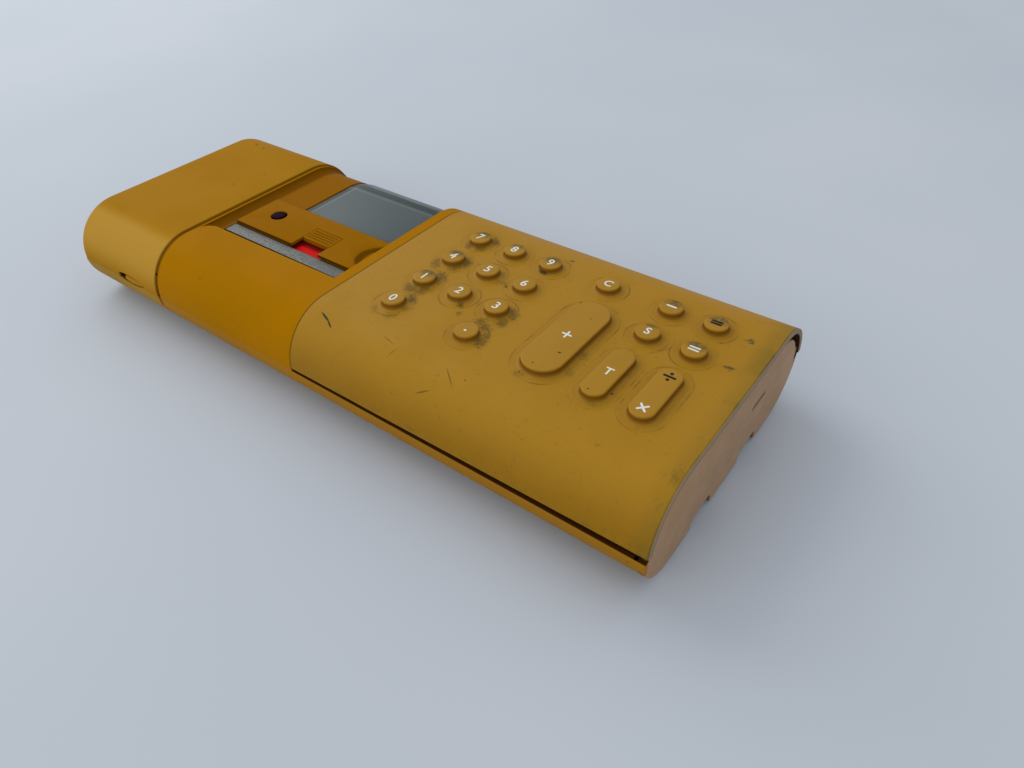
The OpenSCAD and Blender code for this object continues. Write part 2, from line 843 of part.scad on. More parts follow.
// Soft rubber skin over the whole keyboard, down to just above the seam
module keyboard_skin() {
    color(skin_amber)
        difference() {
            along_x(skin_x0, skin_x1)
                upper_section();
            along_x(skin_x0 - over, skin_x1 + over)
                upper_section(skin_t, over);
            block([skin_x0 - over, -body_w, 0], [skin_x1 + over, body_w, skin_edge_z]);
            key_holes(slide_gap);
        }
}

// One key: cap, flange under the frame and plunger
module key(k) {
    color(skin_amber) {
        translate([0, 0, key_flange_low])
            linear_extrude(key_flange_t)
                key_outline(k, key_flange);
        translate([0, 0, key_flange_low])
            linear_extrude(top_z + key_h - key_flange_low)
                key_outline(k);
        translate([col_x(k[1]), (key_low(k) + key_high(k)) / 2, plunger_low])
            cylinder(h = plunger_l + over / 2, r = plunger_r);
    }
}

// Plate that closes the right end, with two notches along its foot and a coin groove
module end_plate() {
    color(tan_plastic)
        difference() {
            along_x(plate_x0, plate_x1) {
                upper_section(frame_inset);
                lower_section(0, seam_z);
            }
            along_x(plate_x0 - over, plate_x1 + over)
                for (s = [-1, 1])
                    translate([s * notch_y, foot_h]) {
                        translate([0, notch_h - notch_r])
                            pill(notch_w, 2 * notch_r);
                        translate([-notch_w / 2, -over])
                            square([notch_w, notch_h - notch_r + over]);
                    }
            along_x(plate_x1 - groove_d, plate_x1 + over)
                translate([groove_y, seam_z + groove_z])
                    pill(groove_l, groove_w);
        }
}

// Raised panel on the deck, with the lens hole, the switch slot and the finger hollow
module control_panel() {
    color(amber)
        difference() {
            block([panel_x0, panel_y0, deck_z], [panel_x1, panel_y1, panel_z]);
            translate([lens_at.x, lens_at.y, deck_z - over])
                cylinder(h = panel_t + 2 * over, r = lens_r + lay_gap);
            block([switch_mid - switch_w / 2, panel_y0 - over, deck_z - over],
                  [switch_mid + switch_w / 2, switch_y1, panel_z + over]);
            scoop();
        }
}

// Plain metal strip in the channel in front of the panel
module trim_strip() {
    color(metal_grey)
        block([panel_x0, -deck_front + lay_gap, channel_z],
              [panel_x1, panel_y0 - slide_gap, channel_z + strip_t]);
}

// Domed indicator lens with its flange under the panel and the lamp's stem below
module indicator_lens() {
    color("#3c0a18")
        translate([lens_at.x, lens_at.y, 0]) {
            intersection() {
                translate([0, 0, deck_under])
                    cylinder(h = panel_z + lens_rise - deck_under, r = lens_r);
                translate([0, 0, panel_z + lens_rise - lens_dome_r])
                    sphere(r = lens_dome_r);
            }
            translate([0, 0, deck_under])
                cylinder(h = wall - lay_gap, r = lens_flange_r);
            translate([0, 0, deck_under - lens_stem])
                cylinder(h = lens_stem + over, r = lens_r / 2);
        }
}

// Body of the slide switch, fixed under the deck
module switch_body() {
    color(dark_grey)
        block([switch_mid - switch_w / 2 - slider_rail - switch_body_lap, panel_y0 - switch_body_lap,
               deck_under - switch_body_h],
              [switch_mid + switch_w / 2 + slider_rail + switch_body_lap, switch_y1 + switch_body_lap,
               deck_under]);
}

// Red flag that shows in front of the button when the switch is on
module switch_flag() {
    color("#d01010")
        block([switch_mid - switch_w / 2 - slider_rail, panel_y0 + lay_gap, deck_under],
              [switch_mid + switch_w / 2 + slider_rail, switch_y1 - lay_gap, deck_under + flag_t]);
}

// Ribbed switch button, held under the panel by a rail on each side
module power_slider() {
    half = switch_w / 2 - slide_gap;
    color(amber)
        difference() {
            union() {
                block([switch_mid - half, slider_y1 - slider_l, slider_z],
                      [switch_mid + half, slider_y1, panel_z]);
                block([switch_mid - half - slider_rail, slider_y1 - slider_l, slider_z],
                      [switch_mid + half + slider_rail, slider_y1, deck_z - slide_gap / 2]);
            }
            for (i = [1 : slider_ribs])
                translate([0, slider_y1 - i * rib_pitch, 0])
                    block([switch_mid - half + over, -rib_groove / 2, panel_z - rib_groove],
                          [switch_mid + half - over, rib_groove / 2, panel_z + over]);
        }
}

// Clear window over the paper, turned round the back edge to its hinge barrel
module paper_window() {
    color("#9aa5a5", 0.5) {
        along_x(window_x0, window_x1) {
            intersection() {
                upper_layer(deck_drop - window_rise, deck_drop - window_rise + window_t);
                back_part(window_y0, hinge_angle);
            }
            translate(hinge_at)
                circle(r = barrel_r);
        }
        translate([0, hinge_at.x, hinge_at.y])
            bar_x(window_x0 - stub_l + slide_gap / 2, window_x1 + stub_l - slide_gap / 2, stub_r);
    }
}

// Grey tray that carries the paper under the window and down the back
module paper_tray() {
    color("#7f8788")
        along_x(printer_x0, printer_x1)
            intersection() {
                upper_layer(top_z - tray_z - tray_t, top_z - tray_z);
                back_part(tray_y0, tray_angle);
            }
}

// Outline of a side sheet of the printer frame
module sheet_outline() {
    polygon([
        [frame_front, printer_z], [frame_back, printer_z], [frame_back, tray_z],
        [tray_y0 - sheet_margin, tray_z], [head_y1, head_top],
        [head_y1 - head_w - sheet_margin, head_top], [spindle_y + 2 * spindle_r, spindle_top],
        [frame_front, spindle_top]
    ]);
}

// Sheet metal frame of the printer: a floor and two sides with the shaft bores and spindle slots
module printer_frame() {
    color(metal_grey)
        difference() {
            union() {
                along_x(printer_x0, sheet_x0)
                    sheet_outline();
                along_x(sheet_x1, printer_x1)
                    sheet_outline();
                block([printer_x0, frame_front, printer_z], [printer_x1, frame_back, printer_z + sheet_t]);
            }
            translate([0, platen_y, platen_z])
                bar_x(printer_x0 - over, printer_x1 + over, shaft_r + run_gap);
            translate([0, motor_y, motor_z])
                bar_x(printer_x0 - over, sheet_x0 + over, motor_shaft_r + slide_gap);
            translate([0, spindle_y, spindle_z]) {
                bar_x(printer_x0 - over, printer_x1 + over, spindle_r + run_gap);
                block([printer_x0 - over, -spindle_r - run_gap, 0],
                      [printer_x1 + over, spindle_r + run_gap, 2 * spindle_r]);
            }
        }
}

// Heated print head, a bar between the sides with a fine printing edge
module print_head() {
    color(dark_grey) {
        block([sheet_x0, head_y1 - head_w, platen_z - head_h / 2],
              [sheet_x1, head_y1, platen_z + head_h / 2]);
        block([sheet_x0 + over, head_y1 - over, platen_z - head_edge],
              [sheet_x1 - over, head_y1 + head_edge, platen_z + head_edge]);
    }
}

// Steel shaft of the platen
module platen_shaft() {
    color(metal_grey)
        translate([0, platen_y, platen_z])
            bar_x(gear_x0 - slide_gap, printer_x1 + sheet_t, shaft_r);
}

// Rubber platen on its shaft
module platen_roller() {
    color(rubber_black)
        translate([0, platen_y, platen_z])
            difference() {
                bar_x(sheet_x0 + sheet_t, sheet_x1 - sheet_t, platen_r);
                bar_x(sheet_x0, sheet_x1, shaft_r + run_gap / 2);
            }
}

// Angle between a tooth flank and the middle of its tooth, at a radius
function flank(r, pitch_r, base_circle, teeth) =
    let (half = 90 / teeth - backlash / 4 / pitch_r * 180 / PI)
    let (at_pitch = acos(base_circle / pitch_r))
    let (at_r = acos(min(1, base_circle / r)))
    half + (tan(at_pitch) - tan(at_r)) * 180 / PI - at_pitch + at_r;

// Drawing of a spur gear with involute teeth, the first one at the given angle
module spur_outline(teeth, first) {
    pitch_r = gear_module * teeth / 2;
    base_circle = pitch_r * cos(20);
    root_r = pitch_r - gear_module;
    tip_r = pitch_r + 0.75 * gear_module;
    steps = 4;
    radii = concat([root_r], [for (i = [0 : steps])
        max(base_circle, root_r) + (tip_r - max(base_circle, root_r)) * i / steps]);
    last = len(radii) - 1;
    polygon([
        for (t = [0 : teeth - 1])
            for (j = [0 : 2 * last + 1])
                let (rising = j <= last)
                let (r = radii[rising ? j : 2 * last + 1 - j])
                let (side = rising ? -1 : 1)
                let (a = first + t * 360 / teeth + side * flank(r, pitch_r, base_circle, teeth))
                r * [cos(a), sin(a)]
    ]);
}

// Gear on the left end of the platen shaft
module platen_gear() {
    color("#e8e2d2")
        translate([0, platen_y, platen_z])
            difference() {
                along_x(gear_x0, gear_x1)
                    spur_outline(gear_teeth, mesh_angle);
                bar_x(gear_x0 - over, gear_x1 + over, shaft_r + run_gap / 2);
            }
}

// Small feed motor on the inside of the left sheet
module feed_motor() {
    color("#8c8f92")
        translate([0, motor_y, motor_z])
            difference() {
                bar_x(sheet_x0, sheet_x0 + motor_l, motor_r);
                bar_x(sheet_x0 - over, sheet_x0 + motor_shaft_l + slide_gap, motor_shaft_r + run_gap);
            }
}

// Motor shaft with its pinion, in mesh with the platen gear
module motor_pinion() {
    color("#c9a227")
        translate([0, motor_y, motor_z]) {
            along_x(gear_x0, gear_x1)
                spur_outline(pinion_teeth, mesh_angle + 180 + 180 / pinion_teeth);
            bar_x(gear_x0, sheet_x0 + motor_shaft_l, motor_shaft_r);
        }
}

// Spindle of the paper roll, dropped into the slots of the frame
module roll_spindle() {
    color("#d8d4c8")
        translate([0, spindle_y, spindle_z])
            bar_x(printer_x0 - sheet_t, printer_x1 + sheet_t, spindle_r);
}

// Roll of paper on the spindle
module paper_roll() {
    color("#f2efe6")
        translate([0, spindle_y, spindle_z])
            difference() {
                bar_x(sheet_x0 + roll_margin, sheet_x1 - roll_margin, roll_r);
                bar_x(sheet_x0, sheet_x1, spindle_r + run_gap);
            }
}

// Main circuit board on the posts of the tray
module main_board() {
    color(board_green)
        block([board_x0, -board_y, main_board_z], [board_x1, board_y, main_board_z + board_t]);
}

// Logic chips, a row on the main board
module logic_chips() {
    color(dark_grey)
        for (i = [0 : chip_count - 1])
            translate([battery_x + (i - (chip_count - 1) / 2) * 2 * col_pitch, 0, main_board_z + board_t])
                block([-chip_w / 2, -chip_l / 2, 0], [chip_w / 2, chip_l / 2, chip_h]);
}

// Key board under the frame's posts
module key_board() {
    color(board_green)
        block([board_x0, -board_y, key_board_low], [board_x1, board_y, key_board_top]);
}

// Contact dome under every key
module key_domes() {
    color(metal_grey)
        for (k = KEYS)
            translate([col_x(k[1]), (key_low(k) + key_high(k)) / 2, key_board_top])
                cylinder(h = dome_h, r1 = dome_r, r2 = dome_r / 2);
}

// Cradle for the battery cells on the tray floor
module battery_holder() {
    color(dark_grey)
        difference() {
            block([cell_x(0) - cell_r - holder_t, -holder_y, floor_z],
                  [cell_x(cell_count - 1) + cell_r + holder_t, holder_y, floor_z + holder_h]);
            for (i = [0 : cell_count - 1])
                translate([cell_x(i), -cell_l / 2 - lay_gap, cell_z])
                    rotate([-90, 0, 0])
                        cylinder(h = cell_l + 2 * lay_gap, r = cell_r + lay_gap);
        }
}

// Rechargeable cells, side by side
module battery_cells() {
    color("#3f5f8f")
        for (i = [0 : cell_count - 1])
            translate([cell_x(i), -cell_l / 2, cell_z])
                rotate([-90, 0, 0])
                    cylinder(h = cell_l, r = cell_r);
}

// Places children at every docking pin
module at_pins() {
    for (i = [0 : pin_count - 1])
        translate([0, (i - (pin_count - 1) / 2) * pin_pitch, dock_mid_z])
            children();
}

// Socket behind the docking wall of the tray
module dock_socket() {
    color(rubber_black)
        difference() {
            union() {
                block([housing_x0 + wall + lay_gap, -dock_w / 2, floor_z],
                      [housing_x0 + wall + dock_l, dock_w / 2, dock_low + dock_h]);
                block([housing_x0 + lay_gap, -dock_w / 2, dock_low],
                      [housing_x0 + wall + over, dock_w / 2, dock_low + dock_h]);
            }
            at_pins()
                bar_x(housing_x0 - over, housing_x0 + pin_room, pin_r + slide_gap);
        }
}

// Case screws, from the underside into the upper bosses
module case_screws() {
    color(metal_grey)
        at_screws(concat(housing_screw_x, keyboard_screw_x)) {
            translate([0, 0, screw_seat - screw_head_h])
                cylinder(h = screw_head_h, r = screw_head_r);
            translate([0, 0, screw_seat - over])
                cylinder(h = screw_l + over, r = screw_r);
        }
}

// Rubber feet of the tray
module rubber_feet() {
    color(rubber_black)
        at_feet(tray_foot_x)
            foot();
}

// Slot in the front of the pack for the release latch
module latch_slot() {
    translate([latch_mid, -body_w / 2 + 2 * wall, latch_mid_z])
        rotate([90, 0, 0])
            linear_extrude(3 * wall)
                pill(latch_slot_l, latch_slot_h);
}

// Upper shell of the power pack
module pack_cover() {
    color(amber)
        difference() {
            along_x(pack_x0, pack_x1)
                upper_section();
            along_x(pack_x0 + wall, pack_x1 - wall)
                upper_section(wall, over);
            latch_slot();
            block([pack_x1 - wall - over, tongue_y0 - slide_gap, tongue_z0 - slide_gap],
                  [pack_x1 + over, tongue_y1 + slide_gap, tongue_z0 + tongue_t + slide_gap]);
        }
}

// Lower shell of the power pack, with the inlet's mouth and the connector's opening
module pack_base() {
    color(base_amber)
        difference() {
            union() {
                difference() {
                    along_x(pack_x0, pack_x1)
                        lower_section();
                    along_x(pack_x0 + wall, pack_x1 - wall)
                        lower_section(wall, seam_z + over);
                }
                for (x = [charger_x0 + post_r, charger_x1 - post_r])
                    translate([x, charger_y0 + charger_w / 2, foot_h + wall / 2])
                        cylinder(h = charger_z - foot_h - wall / 2, r = post_r);
            }
            latch_slot();
            at_feet(pack_foot_x)
                foot(lay_gap);
            block([pack_x1 - wall - over, -dock_w / 2 - slide_gap, dock_low - slide_gap],
                  [pack_x1 + over, dock_w / 2 + slide_gap, dock_low + dock_h + slide_gap]);
            block([pack_x0 - over, -inlet_w / 2, inlet_low],
                  [pack_x0 + wall + over, inlet_w / 2, inlet_low + inlet_h]);
        }
}

// Rubber feet of the power pack
module pack_feet() {
    color(rubber_black)
        at_feet(pack_foot_x)
            foot();
}

// Release latch: thumb tab in the slot, and a tongue into the printer section
module release_latch() {
    color(amber) {
        translate([tab_mid, tongue_y0 + over, latch_mid_z])
            rotate([90, 0, 0])
                linear_extrude(tongue_y0 + over - tab_y0)
                    pill(tab_l, tab_h);
        block([tab_mid, tongue_y0, tongue_z0], [tongue_x1, tongue_y1, tongue_z0 + tongue_t]);
        block([tab_mid - tab_l / 4, tongue_y0, latch_mid_z - tab_h / 4],
              [tab_mid + tab_l / 4, tongue_y1, tongue_z0 + over]);
    }
}

// Laminated core of the transformer, with a window on each side of its middle limb
module transformer_core() {
    color("#6d6f72")
        translate([core_mid, 0, floor_z])
            difference() {
                block([-core_l / 2, -core_w / 2, 0], [core_l / 2, core_w / 2, core_h]);
                for (s = [0, 1])
                    mirror([0, s, 0])
                        block([-core_l / 2 - over, mid_limb_w / 2, limb_w],
                              [core_l / 2 + over, core_w / 2 - limb_w, core_h - limb_w]);
            }
}

// Winding round the middle limb
module transformer_winding() {
    color("#a8642a")
        translate([core_mid, 0, floor_z])
            difference() {
                block([-core_l / 2 - coil_reach, -coil_w / 2, limb_w + lay_gap],
                      [core_l / 2 + coil_reach, coil_w / 2, core_h - limb_w - lay_gap]);
                block([-core_l / 2 - lay_gap, -mid_limb_w / 2 - lay_gap, 0],
                      [core_l / 2 + lay_gap, mid_limb_w / 2 + lay_gap, core_h]);
            }
}

// Charger board beside the transformer
module charger_board() {
    color(board_green)
        block([charger_x0, charger_y0, charger_z],
              [charger_x1, charger_y0 + charger_w, charger_z + board_t]);
}

// Smoothing capacitor lying on the charger board
module charger_capacitor() {
    color("#2b3c6b")
        translate([0, charger_y0 + charger_w / 2, charger_z + board_t + capacitor_r + lay_gap])
            bar_x(charger_mid - capacitor_l / 2, charger_mid + capacitor_l / 2, capacitor_r);
}

// Plug with its pins in the docking wall of the pack
module dock_plug() {
    color("#b89a4a") {
        block([pack_x1 - wall - dock_l, -dock_w / 2, floor_z],
              [pack_x1 - wall - lay_gap, dock_w / 2, dock_low + dock_h]);
        block([pack_x1 - wall - over, -dock_w / 2, dock_low], [pack_x1, dock_w / 2, dock_low + dock_h]);
        at_pins()
            bar_x(pack_x1 - over, pack_x1 + pin_l, pin_r);
    }
}

// Mains inlet: a cup behind the left wall with two pins
module mains_inlet() {
    color(rubber_black) {
        difference() {
            block([pack_x0 + wall + lay_gap, -inlet_w / 2 - wall, inlet_low - wall],
                  [inlet_back + wall, inlet_w / 2 + wall, inlet_low + inlet_h + wall]);
            block([pack_x0, -inlet_w / 2, inlet_low], [inlet_back, inlet_w / 2, inlet_low + inlet_h]);
        }
        for (s = [-1, 1])
            translate([0, s * inlet_pin_y, inlet_low + inlet_h / 2])
                bar_x(inlet_back - inlet_pin_l, inlet_back + over, inlet_pin_r);
    }
}

base_tray();
printer_housing();
keyboard_frame();
keyboard_skin();
end_plate();
control_panel();
trim_strip();
indicator_lens();
switch_body();
switch_flag();
power_slider();
paper_window();
paper_tray();
printer_frame();
print_head();
platen_shaft();
platen_roller();
platen_gear();
feed_motor();
motor_pinion();
roll_spindle();
paper_roll();
main_board();
logic_chips();
key_board();
key_domes();
battery_holder();
battery_cells();
dock_socket();
case_screws();
rubber_feet();
pack_cover();
pack_base();
pack_feet();
release_latch();
transformer_core();
transformer_winding();
charger_board();
charger_capacitor();
dock_plug();
mains_inlet();
for (k = KEYS)
    key(k);
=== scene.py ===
"""Looks of the printing calculator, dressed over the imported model. Metres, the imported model's frame."""
import math
from functools import reduce

import bmesh
import bpy
from mathutils import Matrix, Vector


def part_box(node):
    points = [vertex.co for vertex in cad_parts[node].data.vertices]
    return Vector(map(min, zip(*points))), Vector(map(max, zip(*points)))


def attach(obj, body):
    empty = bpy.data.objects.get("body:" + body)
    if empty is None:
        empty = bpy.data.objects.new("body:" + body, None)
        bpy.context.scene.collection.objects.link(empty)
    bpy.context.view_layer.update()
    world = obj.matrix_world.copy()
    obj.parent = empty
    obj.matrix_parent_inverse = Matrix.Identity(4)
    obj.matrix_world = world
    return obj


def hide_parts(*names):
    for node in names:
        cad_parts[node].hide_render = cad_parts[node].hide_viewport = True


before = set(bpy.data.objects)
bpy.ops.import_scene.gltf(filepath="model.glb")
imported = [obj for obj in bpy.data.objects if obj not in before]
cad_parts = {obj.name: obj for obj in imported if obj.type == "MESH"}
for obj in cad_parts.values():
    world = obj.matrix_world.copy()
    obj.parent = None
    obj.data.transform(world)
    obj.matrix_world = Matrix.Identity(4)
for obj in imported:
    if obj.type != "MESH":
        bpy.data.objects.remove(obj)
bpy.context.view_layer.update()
MM = 0.001

# Table and light. The machine lies on a plain pale table under a wide soft sky light, with one large soft
# lamp on the left and a weaker one in front. The camera stands where the photographer stood, front right.
bpy.ops.object.select_all(action="DESELECT")
scene = bpy.context.scene
scene.view_settings.view_transform = "Standard"
camera = bpy.data.objects.new("camera", bpy.data.cameras.new("camera"))
scene.collection.objects.link(camera)
right = Vector((0.80300, 0.59533, -0.02780))
down = Vector((0.37649, -0.54288, -0.75069))
ahead = Vector((-0.46200, 0.59234, -0.66007))
camera_place = Vector((203.7, -186.5, 208.6)) * MM
camera_turn = Matrix((right, -down, -ahead)).transposed().to_4x4()
camera.matrix_world = Matrix.Translation(camera_place) @ camera_turn
picture_width, focal_length = 1024, 748.7  # in pixels
film_width = 36
camera.data.sensor_width = film_width
camera.data.lens = focal_length / picture_width * film_width
camera.data.clip_start = 0.01
scene.camera = camera

scene.world = bpy.data.worlds.new("sky")
scene.world.use_nodes = True
sky = scene.world.node_tree.nodes["Background"]
sky.inputs["Color"].default_value = (0.93, 0.96, 1.0, 1)
sky.inputs["Strength"].default_value = 0.68


def soft_lamp(name, place, size, power, colour):
    """A square lamp at a place, facing the machine."""
    lamp = bpy.data.objects.new(name, bpy.data.lights.new(name, "AREA"))
    scene.collection.objects.link(lamp)
    lamp.data.size = size
    lamp.data.energy = power
    lamp.data.color = colour
    lamp.location = place
    lamp.rotation_euler = (-Vector(place)).to_track_quat("-Z", "Y").to_euler()


soft_lamp("left_light", (-1.25, 0.25, 1.0), 1.3, 8.5, (1.0, 0.985, 0.95))
soft_lamp("front_light", (-0.5, -1.3, 0.5), 1.2, 4.5, (1.0, 0.99, 0.96))


class Finish:
    """A node material in the making. Patterns lie in the piece's own coordinates; the colour builds up."""

    def __init__(self, name, colour):
        self.material = bpy.data.materials.new(name)
        self.material.use_nodes = True
        self.tree = self.material.node_tree
        self.shader = self.tree.nodes["Principled BSDF"]
        self.place = self.node("TexCoord").outputs["Object"]
        self.split = None
        self.colour = colour

    def feed(self, socket, value):
        """Links a socket to another one, or sets it to a number, place or colour."""
        if isinstance(value, bpy.types.NodeSocket):
            self.tree.links.new(value, socket)
        else:
            socket.default_value = (*value, 1) if socket.type == "RGBA" else value

    def node(self, kind, *inputs, **settings):
        """A shader node: its first inputs in order, then properties by name, or inputs with _ for a space."""
        made = self.tree.nodes.new("ShaderNode" + kind)
        for key, value in settings.items():
            if hasattr(made, key):
                setattr(made, key, value)
            else:
                self.feed(made.inputs[key.replace("_", " ")], value)
        for socket, value in zip(made.inputs, inputs):
            self.feed(socket, value)
        return made

    def along(self, axis):
        """How far a point lies along an axis, in metres."""
        if self.split is None:
            self.split = self.node("SeparateXYZ", self.place)
        return self.split.outputs[axis]

    def noise(self, scale, detail=4.0, rough=0.55, place=None):
        """A noise pattern at a scale, as its plain value."""
        place = self.place if place is None else place
        return self.node("TexNoise", place, Scale=scale, Detail=detail, Roughness=rough).outputs["Fac"]

    def spread(self, value, low, high, out_low=0.0, out_high=1.0):
        """A value between two limits, drawn out smoothly to a new range."""
        made = self.node("MapRange", value, low, high, out_low, out_high, interpolation_type="SMOOTHSTEP")
        return made.outputs["Result"]

    def calc(self, kind, first, second=0.0):
        """Two values joined by a kind of sum; either may be a number."""
        return self.node("Math", first, second, operation=kind).outputs[0]

    def times(self, first, second):
        """The product of two values."""
        return self.calc("MULTIPLY", first, second)

    def largest(self, first, second):
        """The larger of two values."""
        return self.calc("MAXIMUM", first, second)

    def off(self, value, middle):
        """How far a value lies from a middle, to either side."""
        return self.calc("ABSOLUTE", self.calc("SUBTRACT", value, middle))

    def tint(self, tone, share, *limits):
        """Blends the colour so far towards a tone. The share may be drawn out between limits first."""
        mixed = self.node("Mix", self.spread(share, *limits) if limits else share, data_type="RGBA")
        for socket, colour in zip([s for s in mixed.inputs if s.type == "RGBA"], (self.colour, tone)):
            self.feed(socket, colour)
        self.colour = [s for s in mixed.outputs if s.type == "RGBA"][0]

    def strokes(self, marks):
        """Soft ovals, the strongest at each point: x, y in mm, half sizes, turn in degrees, softness."""
        ovals = []
        for x, y, half_x, half_y, angle, soft in marks:
            at = self.node("Mapping", self.place, (x * MM, y * MM, 0), (0, 0, math.radians(angle)),
                           (half_x * MM, half_y * MM, 1e3), vector_type="TEXTURE")
            far = self.node("VectorMath", at.outputs["Vector"], operation="LENGTH").outputs["Value"]
            ovals.append(self.times(self.calc("SUBTRACT", 1 + soft, far), 0.5 / soft))
        return self.spread(reduce(self.largest, ovals), 0.0, 1.0)

    def relief(self, height, depth, strength):
        """Surface relief from a height pattern, depth in metres."""
        bump = self.node("Bump", Strength=strength, Distance=depth, Height=height)
        self.feed(self.shader.inputs["Normal"], bump.outputs["Normal"])

    def done(self, rough, **levels):
        """The finished material, with its roughness and the plain levels of its shader."""
        for label, value in {"Base_Color": self.colour, "Roughness": rough, **levels}.items():
            self.feed(self.shader.inputs[label.replace("_", " ")], value)
        return self.material


coat = Finish("table_paper", (0.545, 0.59, 0.655))
coat.tint((0.59, 0.63, 0.685), coat.noise(2.2, 3), 0.35, 0.7)
bpy.ops.mesh.primitive_plane_add(size=7, location=(0, 1.2, 0))
table = bpy.context.object
table.name = "table"
table.data.materials.append(coat.done(0.75, Specular_IOR_Level=0.2))


# Lower tray. Deep amber styrene shot in a polished tool, as are all the case mouldings: smooth, with a faint
# satin. Its long walls run on to the right end as thin lips that hold the end plate between them, the back
# one higher to close the gap under the skin. A step at its left end leaves the groove to the power pack.
def amber_finish(name, main, worn, low_dirt, gloss, *painted_light_and_shade, marks=()):
    """Moulded amber plastic: cloudy colour, satin gloss, fine rubbed scratches, dust towards the foot.

    A place of painted light or shade is a list of axes with the two heights in mm between which it sets in,
    its share and tone.
    The marks are single soft ovals, each with its share and its tone."""
    coat = Finish(name, main)
    clouds = coat.noise(28, 5)
    coat.tint(worn, clouds, 0.36, 0.68)
    rubs = coat.node("Mapping", coat.place, Scale=(60, 900, 300), Rotation=(0.0, 0.0, 0.5))
    lines = coat.noise(1.0, 3, place=rubs.outputs["Vector"])
    patches = coat.spread(coat.noise(16, 2), 0.5, 0.62)
    coat.tint(tuple(c * 1.3 for c in main), coat.times(coat.spread(lines, 0.66, 0.72, 0.0, 0.35), patches))
    foot = coat.spread(coat.along("Z"), 0.004, 0.021, 0.55, 0.0)
    coat.tint(low_dirt, coat.times(foot, coat.spread(coat.noise(70, 5), 0.35, 0.75)))
    coat.tint((0.09, 0.045, 0.006), coat.noise(330, 2, 0.4), 0.755, 0.79, 0.0, 0.5)
    for limits, share, tone in painted_light_and_shade:
        edges = [coat.spread(coat.along(axis), low * MM, high * MM) for axis, low, high in limits]
        coat.tint(tone, coat.times(reduce(coat.times, edges), share))
    for mark, share, tone in marks:
        coat.tint(tone, coat.times(coat.strokes([mark]), share))
    coat.relief(coat.calc("ADD", coat.times(coat.noise(2600, 2), 0.25), lines), 0.00003, 0.35)
    return coat.done(coat.spread(clouds, 0.3, 0.7, gloss, gloss + 0.16),
                     Specular_IOR_Level=0.012, Specular_Tint=(1.0, 0.70, 0.22))


def alone(piece):
    """Selects one piece and nothing else."""
    bpy.ops.object.select_all(action="DESELECT")
    piece.hide_set(False)
    piece.select_set(True)
    bpy.context.view_layer.objects.active = piece


def edit(piece):
    """Opens the mesh of one piece, with all of it picked."""
    alone(piece)
    bpy.ops.object.mode_set(mode="EDIT")
    bpy.ops.mesh.select_all(action="SELECT")


def edited():
    """Closes the open mesh."""
    bpy.ops.object.mode_set(mode="OBJECT")


def settle(piece, finish, body, slot=None, *stands_for):
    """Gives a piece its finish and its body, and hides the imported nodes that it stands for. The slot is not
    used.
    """
    piece.data.materials.clear()
    piece.data.materials.append(finish)
    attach(piece, body)
    if stands_for:
        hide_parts(*stands_for)


def fixed():
    """The piece just added, with its place, turn and size left in its mesh."""
    bpy.ops.object.transform_apply(location=True, rotation=True, scale=True)
    return bpy.context.object


def apply_all(piece):
    """Applies every modifier of a piece, in order."""
    alone(piece)
    for modifier in [m.name for m in piece.modifiers]:
        bpy.ops.object.modifier_apply(modifier=modifier)


def smooth():
    """Smooths the shading of the piece in hand up to its sharp edges."""
    bpy.ops.object.shade_smooth_by_angle(angle=math.radians(32))


def round_edges(piece, width, steps=3, angle=40):
    """Rounds the sharp edges of a piece by a width in mm and smooths its shading."""
    edge = piece.modifiers.new("edge", "BEVEL")
    edge.width = width * MM
    edge.segments = steps
    edge.limit_method = "ANGLE"
    edge.angle_limit = math.radians(angle)
    apply_all(piece)
    smooth()


def moulding(node, name):
    """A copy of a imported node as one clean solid: points merged, flat faces joined."""
    piece = bpy.data.objects.new(name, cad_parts[node].data.copy())
    scene.collection.objects.link(piece)
    alone(piece)
    bpy.ops.mesh.customdata_custom_splitnormals_clear()
    edit(piece)
    bpy.ops.mesh.remove_doubles(threshold=2e-6)
    bpy.ops.mesh.dissolve_limited(angle_limit=math.radians(0.4))
    edited()
    return piece


def pick(piece, test):
    """Selects, in edit mode, the points of a piece that pass a test on their place in mm."""
    bpy.ops.mesh.select_mode(type="VERT")
    bpy.ops.mesh.select_all(action="DESELECT")
    drawn = bmesh.from_edit_mesh(piece.data)
    for point in drawn.verts:
        point.select = bool(test(point.co / MM))
    drawn.select_flush(True)
    bmesh.update_edit_mesh(piece.data)


def reshape(piece, test, move=None, scale=None, about=(0, 0, 0)):
    """Moves the points of a piece that pass a test, or scales them about a place; all in mm."""
    edit(piece)
    pick(piece, test)
    if move:
        bpy.ops.transform.translate(value=[v * MM for v in move])
    if scale:
        bpy.ops.transform.resize(value=scale, center_override=[v * MM for v in about])
    edited()


def trim(piece, *planes):
    """Cuts a piece off at flat planes and closes it: a point in mm of each, and the side that is kept."""
    edit(piece)
    for point, keep in planes:
        bpy.ops.mesh.select_all(action="SELECT")
        bpy.ops.mesh.bisect(plane_co=[v * MM for v in point], plane_no=keep, clear_inner=True, use_fill=True)
    edited()


def soften(piece, width, steps, test):
    """Rounds only those sharp edges of a piece whose two ends pass a test on their place in mm."""
    edit(piece)
    bpy.ops.mesh.select_mode(type="EDGE")
    bpy.ops.mesh.select_all(action="DESELECT")
    drawn = bmesh.from_edit_mesh(piece.data)
    for edge in drawn.edges:
        sharp = len(edge.link_faces) == 2 and edge.calc_face_angle(0) > math.radians(45)
        edge.select_set(sharp and all(test(point.co / MM) for point in edge.verts))
    bmesh.update_edit_mesh(piece.data)
    bpy.ops.mesh.bevel(offset=width * MM, segments=steps, affect="EDGES", clamp_overlap=True)
    edited()


